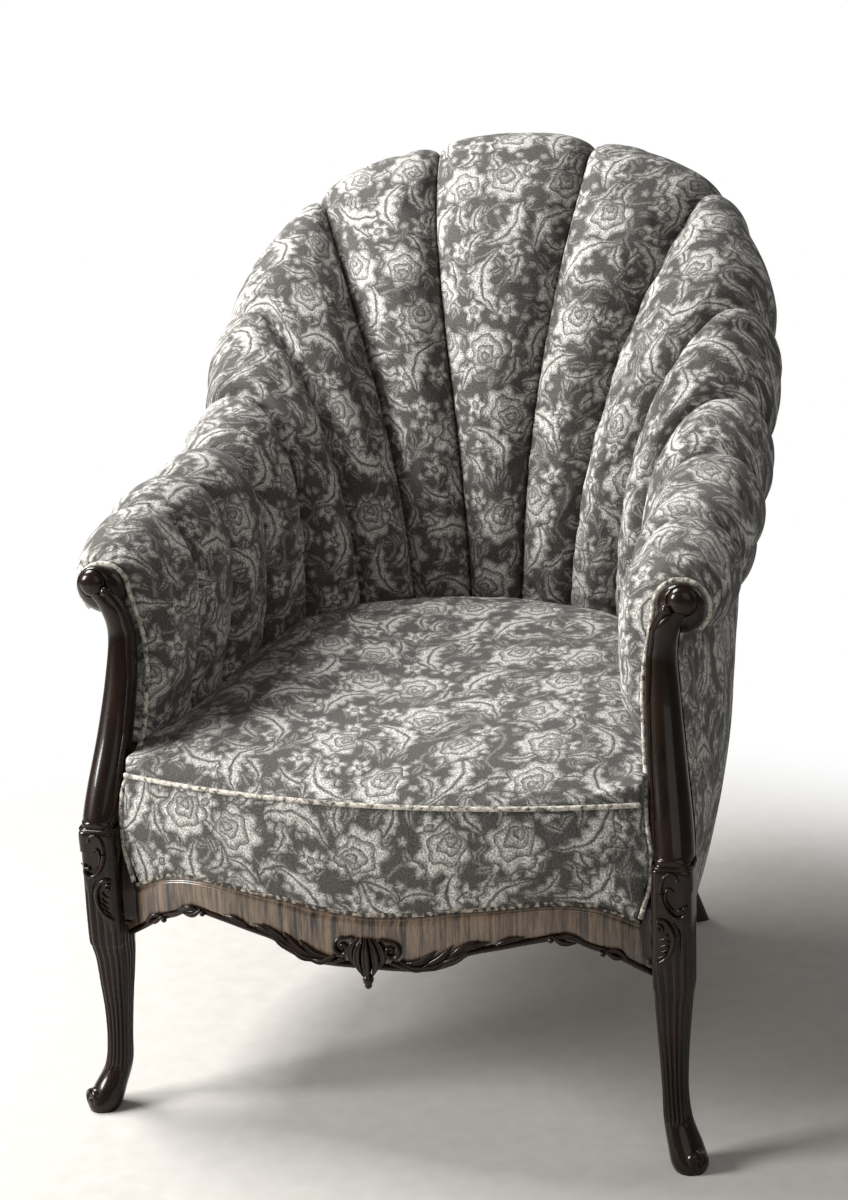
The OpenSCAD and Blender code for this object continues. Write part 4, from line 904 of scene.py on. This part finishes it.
bm, made, layer = cloth_grid(SEAT_ACROSS, SEAT_ALONG)
for v in made:
    u, t = v.co.x + 0.5, v.co.y + 0.5
    v[layer["along"]] = t
    # Tacked all round, and sewn to the piping where the border ends
    edge = min(u, 1 - u, t, 1 - t) < 0.004 or abs(t - BORDER_SHARE) < 0.6 / SEAT_ALONG
    v[layer["held"]] = 1 if edge else 0
    v.co = seat_point(u, t)
lay_cloth(made, SEAT_ACROSS, SEAT_ALONG, (0, 0), layer["cut"])
swell([bm], 1.5, 0.004, 8)
# The underside: the same outline, drawn in a little and laid flat on the hessian
for v in backed(bm):
    t = v[layer["along"]]
    v.co.x *= UNDER_SHARE
    if t < BORDER_SHARE:
        v.co.y += BORDER_T
    else:
        v.co.y = v.co.y * UNDER_SHARE + BORDER_T * (1 - t)
        v.co.z = max(SEAT_H - 50, v.co.z - 70)
pad = stand("seat_cover", bm, velvet, ["seat_pad"], levels=1)

# The channels: fifteen long pads of hair, sewn into one cover that runs up the inside of the back
# and arms, over the roll and down to the tacks behind it. Each is full in the middle and drawn
# in at its seams, which fan out from the seat.
BACK_H, CREST_W, CREST_D, ROLL_R, SCROLL_R = 986, 640, 697, 46, 28
CHANNEL_PUFF, PAD_T, ROLL_PAD_T = 17, 36, 18
# Where each seam crosses the roll, as shares of the crest's half width, its depth and its rise
SEAM_CREST = [(0.325, 0.993, 0.984), (0.815, 0.94, 0.833), (0.975, 0.717, 0.515), (0.966, 0.617, 0.257),
    (0.968, 0.473, 0.121), (0.98, 0.323, 0.085), (0.985, 0.172, 0.057)]
# How far round the roll each seam's inside face ends, and where all the covers end, in degrees
ROLL_START, ROLL_END = [132, 128, 128, 130, 138, 140, 145, 160], -48
FOOT_SQUEEZE, SQUEEZE_H = 0.04, 75
CHANNEL_GRID_MM, SEAM_STEPS = 5.5, 100


def flat(turn):
    return Vector((math.sin(math.radians(turn)), math.cos(math.radians(turn)), 0))


def bezier(a, b, c, d, t):
    return (1 - t) ** 3 * a + 3 * (1 - t) ** 2 * t * b + 3 * (1 - t) * t * t * c + t ** 3 * d


def crest(n):
    """The middle of the roll where a seam crosses it."""
    if n == 7:
        return VOLUTE + Vector((0, VOLUTE_T / 2 + GAP, 0))
    x, y, z = SEAM_CREST[n]
    return Vector((x * CREST_W / 2, y * CREST_D, mix(ARM_H, BACK_H, z)))


def on_roll(n, turn, r):
    a = math.radians(turn)
    return crest(n) + r * (math.cos(a) * flat(SEAM_TURN[n]) + math.sin(a) * UP)


def rise(n, depth, t):
    """A seam on the inside face, from the seat to the roll. depth 0 is the cover, 1 the pad's back."""
    start = ROLL_START[n]
    if n == 7:
        top = on_roll(7, start, SCROLL_R)
        z = mix(SEAT_FOOT_Z, top.z, t)
        edge = Vector((*post_edge(z), z)) + depth * 12 * Vector((1, 0.6, 0))
        return edge.lerp(on_roll(7, start, SCROLL_R - depth * ROLL_PAD_T), t ** 3)
    a = math.radians(start)
    p = seam_foot(n) + depth * PAD_T * flat(SEAM_TURN[n])
    s = on_roll(n, start, ROLL_R - depth * ROLL_PAD_T)
    along = math.sin(a) * flat(SEAM_TURN[n]) - math.cos(a) * UP
    h = (s - p).length
    q, r = p + 0.42 * h * UP, s - 0.3 * h * along
    return bezier(p, q, r, s, t)


def seam(n, depth, t):
    """A seam from the seat, 0, to the roll, 1, and round it to the tacks, 2. Left ones are below 0."""
    if n < 0:
        p = seam(-n - 1, depth, t)
        return Vector((-p.x, p.y, p.z))
    if t <= 1:
        return rise(n, depth, t)
    radius = SCROLL_R if n == 7 else ROLL_R
    return on_roll(n, mix(ROLL_START[n], ROLL_END, t - 1), radius - depth * ROLL_PAD_T)


def seams_of(k):
    return (-1, 0) if k == 0 else (k - 1, k)


def channel_cover(k):
    """One channel's cover as a grid, and the layers of its points."""
    low, high = seams_of(k)
    step = 2 / SEAM_STEPS
    lengths = [0.0]
    for i in range(SEAM_STEPS):
        a, b = (seam(low, 0, t) + seam(high, 0, t) for t in (i * step, (i + 1) * step))
        lengths.append(lengths[-1] + (b - a).length / 2)
    total = lengths[-1]
    rows = round(total / CHANNEL_GRID_MM)
    widest = max((seam(high, 0, t) - seam(low, 0, t)).length for t in (0, 0.5, 1, 1.5, 2))
    columns = max(14, round(widest / CHANNEL_GRID_MM / 2) * 2)
    bm, made, layer = cloth_grid(columns, rows)
    for v in made:
        u, share = v.co.x + 0.5, v.co.y + 0.5
        i = min(bisect.bisect_right(lengths, share * total) - 1, SEAM_STEPS - 1)
        t = (i + (share * total - lengths[i]) / (lengths[i + 1] - lengths[i])) * step
        a, b = seam(low, 0, t), seam(high, 0, t)
        w = b - a
        ahead = min(t + 0.01, 2)
        behind = ahead - 0.02
        run = seam(low, 0, ahead) + seam(high, 0, ahead) - seam(low, 0, behind) - seam(high, 0, behind)
        out = w.cross(run).normalized()
        front_pad = 1 + 1.1 * math.sin(math.pi * min(1, t)) if abs(k) == 7 else 1
        full = mix(FOOT_SQUEEZE, 1, min(1, (a.z - SEAT_FOOT_Z) / SQUEEZE_H))
        on_top = clamp((t - 0.75) / 0.4)
        h = full * min(CHANNEL_PUFF * math.sqrt(w.length / 150) * front_pad, 0.24 * w.length)
        h *= mix(1, 1.08, on_top)
        edge = GAP / 2 / w.length
        puff = (1 - abs(2 * u - 1) ** 2.3) ** 0.6
        # The seams lie deep in the stuffing on the inside face, and shallower round the roll
        drawn = mix(7, 4.5, on_top) * full * abs(2 * u - 1) ** 9
        # Cloth that is gathered at the scroll, and drawn in unevenly along the seams
        lump = 1.3 * noise.noise(Vector((u * 5 + 7 * k, share * total / 55, k)))
        gather = 0
        if abs(k) == 7 and t > 0.8:
            near = u if k > 0 else 1 - u
            gather = 3 * near ** 4 * math.sin(share * total / 2) * min(1, (t - 0.8) * 4)
        lift = h * puff - drawn + (lump + gather) * min(1, 4 * puff)
        v.co = a.lerp(b, mix(edge, 1 - edge, u)) + lift * out
        v[layer["across"]], v[layer["along"]] = u, t
        v[layer["held"]] = 1 if min(u, 1 - u, share, 1 - share) < 0.001 else 0
    # Each strip is cut from another place of the cloth
    lay_cloth(made, columns, rows, (97 * k, 41 * k), layer["cut"])
    return bm, layer


covers = {k: channel_cover(k) for k in range(-7, 8)}
swell([bm for bm, layer in covers.values()], 2.5, 0.012, 7)
for k, (bm, layer) in covers.items():
    low, high = seams_of(k)
    for v in backed(bm):
        a, b = (seam(n, 1, v[layer["along"]]) for n in (low, high))
        edge = GAP / 2 / (b - a).length
        v.co = a.lerp(b, mix(edge, 1 - edge, v[layer["across"]]))
    node = "channel_centre" if k == 0 else f"channel_{'left' if k < 0 else 'right'}_{abs(k)}"
    pad = stand(node.replace("channel", "stuffed_channel"), bm, velvet, [node], levels=1)

# The outside panels: the same velvet, drawn over the arms' and the back's outer side from under
# the roll to the foot of the rails, where it is turned under and tacked.
# The outline of the rails' outer side at each seam, as shares of the frame's half width and depth
FRAME_PLAN = [(0.108, 1), (0.334, 0.98), (0.548, 0.929), (0.739, 0.822), (0.876, 0.653),
    (0.965, 0.458), (0.99, 0.237), (1, -0.03)]
PANEL_BULGE, TUCK_TURN, TUCK_IN, COLLAR_H, POST_CLEAR, POST_LAP = 32, 2, 6, 20, 0.9, 2


def post_back(z):
    """The outer back edge of the post, and below it of the knee block."""
    top = KNEE_TOP + COLLAR_H
    if z < top:
        return (mix(FRAME_W / 2, KNEE_X + KNEE_W / 2 - 6, (z - RAIL_UNDER) / (top - RAIL_UNDER)),
            max(FRAME_PLAN[7][1] * FRAME_D, KNEE_Y + KNEE_D / 2 + GAP))
    return (post_stage(z, 0) + post_stage(z, 3) * POST_W / 2 - POST_LAP, post_edge(z)[1] + POST_CLEAR)


def panel_corner(n, t):
    """A point of the panels' outer face at a seam, from under the roll, 0, to the rail's foot, 1."""
    m = -n - 1 if n < 0 else n
    top = on_roll(m, ROLL_END - TUCK_TURN, (SCROLL_R if m == 7 else ROLL_R) - TUCK_IN)
    low = Vector((FRAME_PLAN[m][0] * FRAME_W / 2, FRAME_PLAN[m][1] * FRAME_D, RAIL_UNDER))
    h = top.z - low.z
    if m < 7:
        full = PANEL_BULGE * mix(0.65, 1, SEAM_TURN[m] / 90) * flat(SEAM_TURN[m])
        q, r = top - 0.3 * h * UP + 0.3 * full, low + 0.45 * h * UP + 1.4 * full
        p = bezier(top, q, r, low, t)
    else:
        z = mix(top.z, low.z, t)
        p = Vector((*post_back(z), z))
    return Vector((-p.x if n < 0 else p.x, p.y, p.z))


def panel_point(n, t):
    """The same at any place between seams: straight under the roll, smooth at the foot."""
    k = min(math.floor(n), 6)
    f = n - k
    near = [panel_corner(i, t) for i in (max(k - 1, -8), k, k + 1, min(k + 2, 7))]
    smooth = through(near, (1 + f) / 3)
    return near[1].lerp(near[2], f).lerp(smooth, t)


for name, start, end, node, flat_size, flat_area, held_by in [
        ("outside_cover_left", -8, -4, "outside_arm_left", (0.52, 0.46), 0.2, "side_rail_left"),
        ("outside_cover_back", -4, 3, "outside_back", (0.86, 0.77), 0.56, "back_rail"),
        ("outside_cover_right", 3, 7, "outside_arm_right", (0.52, 0.46), 0.2, "side_rail_right")]:
    bm = bmesh.new()
    cut_at = bm.verts.layers.float_vector.new("cut")
    columns, rows = (end - start) * 22, 84
    across_mm = [0.0]
    for i in range(columns):
        a, b = (panel_point(mix(start, end, (i + s) / columns), 0.7) for s in (0, 1))
        across_mm.append(across_mm[-1] + (b - a).length)
    made = bmesh.ops.create_grid(bm, x_segments=columns, y_segments=rows, size=0.5)["verts"]
    for v in made:
        u, t = v.co.x + 0.5, v.co.y + 0.5
        v.co = panel_point(mix(start, end, u), t)
        folds = noise.noise(Vector((u * columns / 5, t * 2.5, start)))
        inward = -flat(SEAM_TURN[min(7, abs(round(mix(start, end, u))))])
        v.co -= 1.4 * folds * window(u, 0, 1, 0.06) * window(t, 0, 1, 0.1) * Vector(
            (math.copysign(inward.x, -v.co.x), inward.y, 0))
        v[cut_at] = (across_mm[round(u * columns)] + 900, -v.co.z, 0)
    bmesh.ops.solidify(bm, geom=bm.faces[:], thickness=3)
    panel = stand(name, bm, velvet, [node])

# The piping: thin cord rolled in strips of the same velvet, sewn along the seat's front edge, down
# each post and round its scroll. The strips are cut across the figure, so they are light with
# short dark dashes where the ground comes to the top.
STRAND_MM, CORD_STEP = 1.1, 1.8
piping_cloth, tree = new_material("piping_of_the_same_velvet")
place = add(tree, "TexCoord")["Object"]
dashes = add(tree, "TexNoise", {"Vector": place, "Scale": 150, "Detail": 2, "Roughness": 0.7})["Fac"]
strands = add(tree, "TexNoise", {"Vector": place, "Scale": 1000 / STRAND_MM, "Detail": 2})["Fac"]
painted_light_and_dashes = add(tree, "Math", strands, 0.3, add(tree, "Math", dashes, 0.7, operation="MULTIPLY")[0],
    operation="MULTIPLY_ADD")[0]
tone = add(tree, "ValToRGB", painted_light_and_dashes, stops=[(0.38, colour("#37332d")), (0.62, colour("#ddd6c8")),
    (0.621, colour("#8d8577"))])[0]
relief = add(tree, "Bump", {"Height": painted_light_and_dashes, "Strength": 0.6, "Distance": 0.0007})[0]
add(tree, "OutputMaterial", add(tree, "BsdfPrincipled", {"Base Color": tone, "Roughness": 0.85,
    "Normal": relief, "Sheen Weight": 0.1})[0])


def cord(bm, path):
    """A cord in a cloth strip, a little uneven where the strip is stitched."""
    far, radii = 0, []
    for a, b in zip(path[:1] + path, path):
        far += (b - a).length
        radii.append(CORD_R * (1 + 0.07 * math.sin(math.tau * far / 9) * math.sin(far / 5)))
    sweep(bm, path, radii, radii, sides=16)


def spaced(points, step):
    """Points a step apart along a smooth line through chosen ones."""
    fine = [through(points, i / 900) for i in range(901)]
    made, far = [fine[0]], 0
    for a, b in zip(fine, fine[1:]):
        far += (b - a).length
        if far >= step * len(made):
            made.append(b)
    return made


bm = bmesh.new()
reach = wood_edge(SEAT_H) - 2 * CORD_R - GAP
off = 0.74 * (CORD_R + GAP)
line = [Vector((x, bow(x) - off, SEAT_H + off)) for x in [mix(-reach, reach, i / 24) for i in range(25)]]
cord(bm, spaced(line, CORD_STEP))
stand("front_piping", bm, piping_cloth, ["seat_piping"])

for side, name in [(-1, "left"), (1, "right")]:
    bm = bmesh.new()
    foot_z = upper_edge(wood_edge(0)) + GIMP_W + CORD_R
    line = []
    for z in [mix(foot_z, 572, i / 16) for i in range(17)]:
        # Below the seat it lies in front of the border, and above it at the post's inner back edge
        up = window(z, SEAT_H - 26, 1000, 62)
        low_x = wood_edge(min(z, SEAT_H)) - CORD_R + 0.5
        stand_off = mix(6.5, 2.5, window(z, 515, 1000, 50))
        line.append(Vector((low_x, bow(low_x) - 2.5, z)).lerp(
            Vector((post_edge(z)[0] - stand_off, post_edge(z)[1] - 2, z)), up * up * (3 - 2 * up)))
    # Round the scroll, from its inner side over the top to its outer side, in degrees
    round_scroll = SCROLL_R + 0.8
    for turn in range(176, -53, -12):
        a = math.radians(turn)
        line.append(VOLUTE + Vector((round_scroll * math.cos(a), VOLUTE_T / 2 - CORD_R - 1.5,
            round_scroll * math.sin(a))))
    cord(bm, spaced(line, CORD_STEP))
    stand("post_cord_" + name, bm, piping_cloth, ["post_piping_" + name], side)

# The gimp: a flat woven braid glued over the tacks where the border meets the facing. It is dark,
# with light stitches that cross it in small scallops.
STITCH_MM = 8.5
braid, tree = new_material("woven_gimp_braid")
place = add(tree, "TexCoord")["Object"]
across = add(tree, "SeparateXYZ", place)["X"]
scallops = add(tree, "Math", add(tree, "Math", across, math.tau * 1000 / STITCH_MM,
    operation="MULTIPLY")[0], operation="SINE")[0]
uneven = add(tree, "TexNoise", {"Vector": place, "Scale": 170, "Detail": 3})["Fac"]
light_stitch = add(tree, "Math", scallops, 0.05, uneven, operation="MULTIPLY_ADD")[0]
tone = add(tree, "ValToRGB", light_stitch,
    stops=[(0.45, colour("#2b2723")), (0.68, colour("#a89f90"))])[0]
relief = add(tree, "Bump", {"Height": uneven, "Strength": 0.5, "Distance": 0.0006})[0]
add(tree, "OutputMaterial", add(tree, "BsdfPrincipled", {"Base Color": tone, "Roughness": 0.8,
    "Normal": relief})[0])
bm = bmesh.new()
reach = wood_edge(0) - GAP
gimp = []
for i in range(401):
    x = mix(-reach, reach, i / 400)
    wave = math.sin(math.tau * x / STITCH_MM)
    # Three raised cords with hollows between them: share of the width, and rise
    half = [(0, 0.2), (0, 1.4), (0.12, 2.1 + 0.3 * wave), (0.3, 1.4)]
    whole = half + [(0.5, 2 - 0.4 * wave)] + [(1 - s, d) for s, d in reversed(half)]
    gimp.append([Vector((x, bow(x) + 1 - GAP - d, upper_edge(x) + GAP + GIMP_W * s)) for s, d in whole])
skin(bm, gimp)
stand("woven_gimp", bm, braid, ["rail_gimp"])

# The dust cover: black glazed cotton tacked to the undersides of the rails, which sags a little
# between them.
cambric, tree = new_material("black_glazed_cotton")
place = add(tree, "TexCoord")["Object"]
threads = plain_weave(tree, place, 1.2)
tone = add(tree, "ValToRGB", threads, stops=[(0.2, colour("#121212")), (0.9, colour("#2c2b2a"))])[0]
relief = add(tree, "Bump", {"Height": threads, "Strength": 0.4, "Distance": 0.0003})[0]
add(tree, "OutputMaterial", add(tree, "BsdfPrincipled", {"Base Color": tone, "Roughness": 0.5,
    "Normal": relief})[0])
dress(["dust_cover"], cambric)

# The room: a plain pale floor that fades to white, soft lamps from the left, from above, from the
# front and from behind on the right, and the camera where the photographer's stood.
paper, tree = new_material("pale_floor_paper")
place = add(tree, "TexCoord")["Object"]
specks = add(tree, "TexNoise", {"Vector": place, "Scale": 40, "Detail": 4})["Fac"]
tone = add(tree, "ValToRGB", specks, stops=[(0.3, colour("#b3b0ab")), (0.7, colour("#bab7b2"))])[0]
matt = add(tree, "BsdfPrincipled", {"Base Color": tone, "Roughness": 0.9})[0]
# Away from the chair the paper fades to the same plain white as the wall
white = add(tree, "Emission", {"Color": (1, 1, 1, 1), "Strength": 1})[0]
away = add(tree, "VectorMath", add(tree, "VectorMath", place, (0, 0.3, 0))[0], operation="LENGTH")["Value"]
far = add(tree, "MapRange", {"Value": away, "From Min": 0.8, "From Max": 1.35},
    interpolation_type="SMOOTHSTEP")[0]
seen = add(tree, "Math", far, add(tree, "LightPath")["Is Camera Ray"], operation="MULTIPLY")[0]
add(tree, "OutputMaterial", add(tree, "MixShader", seen, matt, white)[0])
bm = bmesh.new()
bmesh.ops.create_grid(bm, x_segments=2, y_segments=2, size=6)
floor = bpy.data.objects.new("floor", bpy.data.meshes.new("floor"))
bm.to_mesh(floor.data)
bm.free()
floor.data.materials.append(paper)
bpy.context.scene.collection.objects.link(floor)

scene = bpy.context.scene
scene.view_settings.view_transform = "Standard"
scene.world = bpy.data.worlds.new("room")
scene.world.use_nodes = True
tree = scene.world.node_tree
tree.nodes.clear()
light = add(tree, "Background", {"Color": colour("#f2f0ec"), "Strength": 0.2})[0]
white = add(tree, "Background", {"Color": (1, 1, 1, 1), "Strength": 1})[0]
seen = add(tree, "LightPath")["Is Camera Ray"]
add(tree, "OutputWorld", add(tree, "MixShader", seen, light, white)[0])


def lamp(name, place, target, size, power):
    made = bpy.data.objects.new(name, bpy.data.lights.new(name, "AREA"))
    made.data.size, made.data.energy = size, power
    made.location = place
    made.rotation_mode = "QUATERNION"
    made.rotation_quaternion = (Vector(target) - Vector(place)).to_track_quat("-Z", "Y")
    scene.collection.objects.link(made)


lamp("window", (-2.3, -1.45, 1.45), (0.05, 0, 0.65), 0.95, 118)
lamp("upper_left", (-1.5, 0.15, 2.4), (0, 0, 0.75), 1.1, 98)
lamp("fill", (1.4, -3, 2.2), (0, 0, 0.5), 2.6, 19)
lamp("back_right", (2.6, 1.6, 2.0), (0, 0, 0.5), 2.0, 14)

# The camera, from points of the chair whose places in the photograph are known
VIEW_TURN, VIEW_DOWN, VIEW_ROLL = 16.21, 14.46, 2.33
LENS_PX, IMAGE_H = 2060, 1200
turn, down, roll = (math.radians(a) for a in (VIEW_TURN, VIEW_DOWN, VIEW_ROLL))
forward = Vector((-math.sin(turn) * math.cos(down), math.cos(turn) * math.cos(down), -math.sin(down)))
right = Vector((math.cos(turn), math.sin(turn), 0))
below = forward.cross(right)
image_x = math.cos(roll) * right + math.sin(roll) * below
image_down = math.cos(roll) * below - math.sin(roll) * right
camera = bpy.data.objects.new("camera", bpy.data.cameras.new("camera"))
camera.data.sensor_width = 36
camera.data.lens = 36 * LENS_PX / IMAGE_H
camera.location = (0.635, -2.3371, 1.135)
camera.rotation_mode = "QUATERNION"
camera.rotation_quaternion = Matrix((image_x, -image_down, -forward)).transposed().to_quaternion()
scene.collection.objects.link(camera)
scene.camera = camera
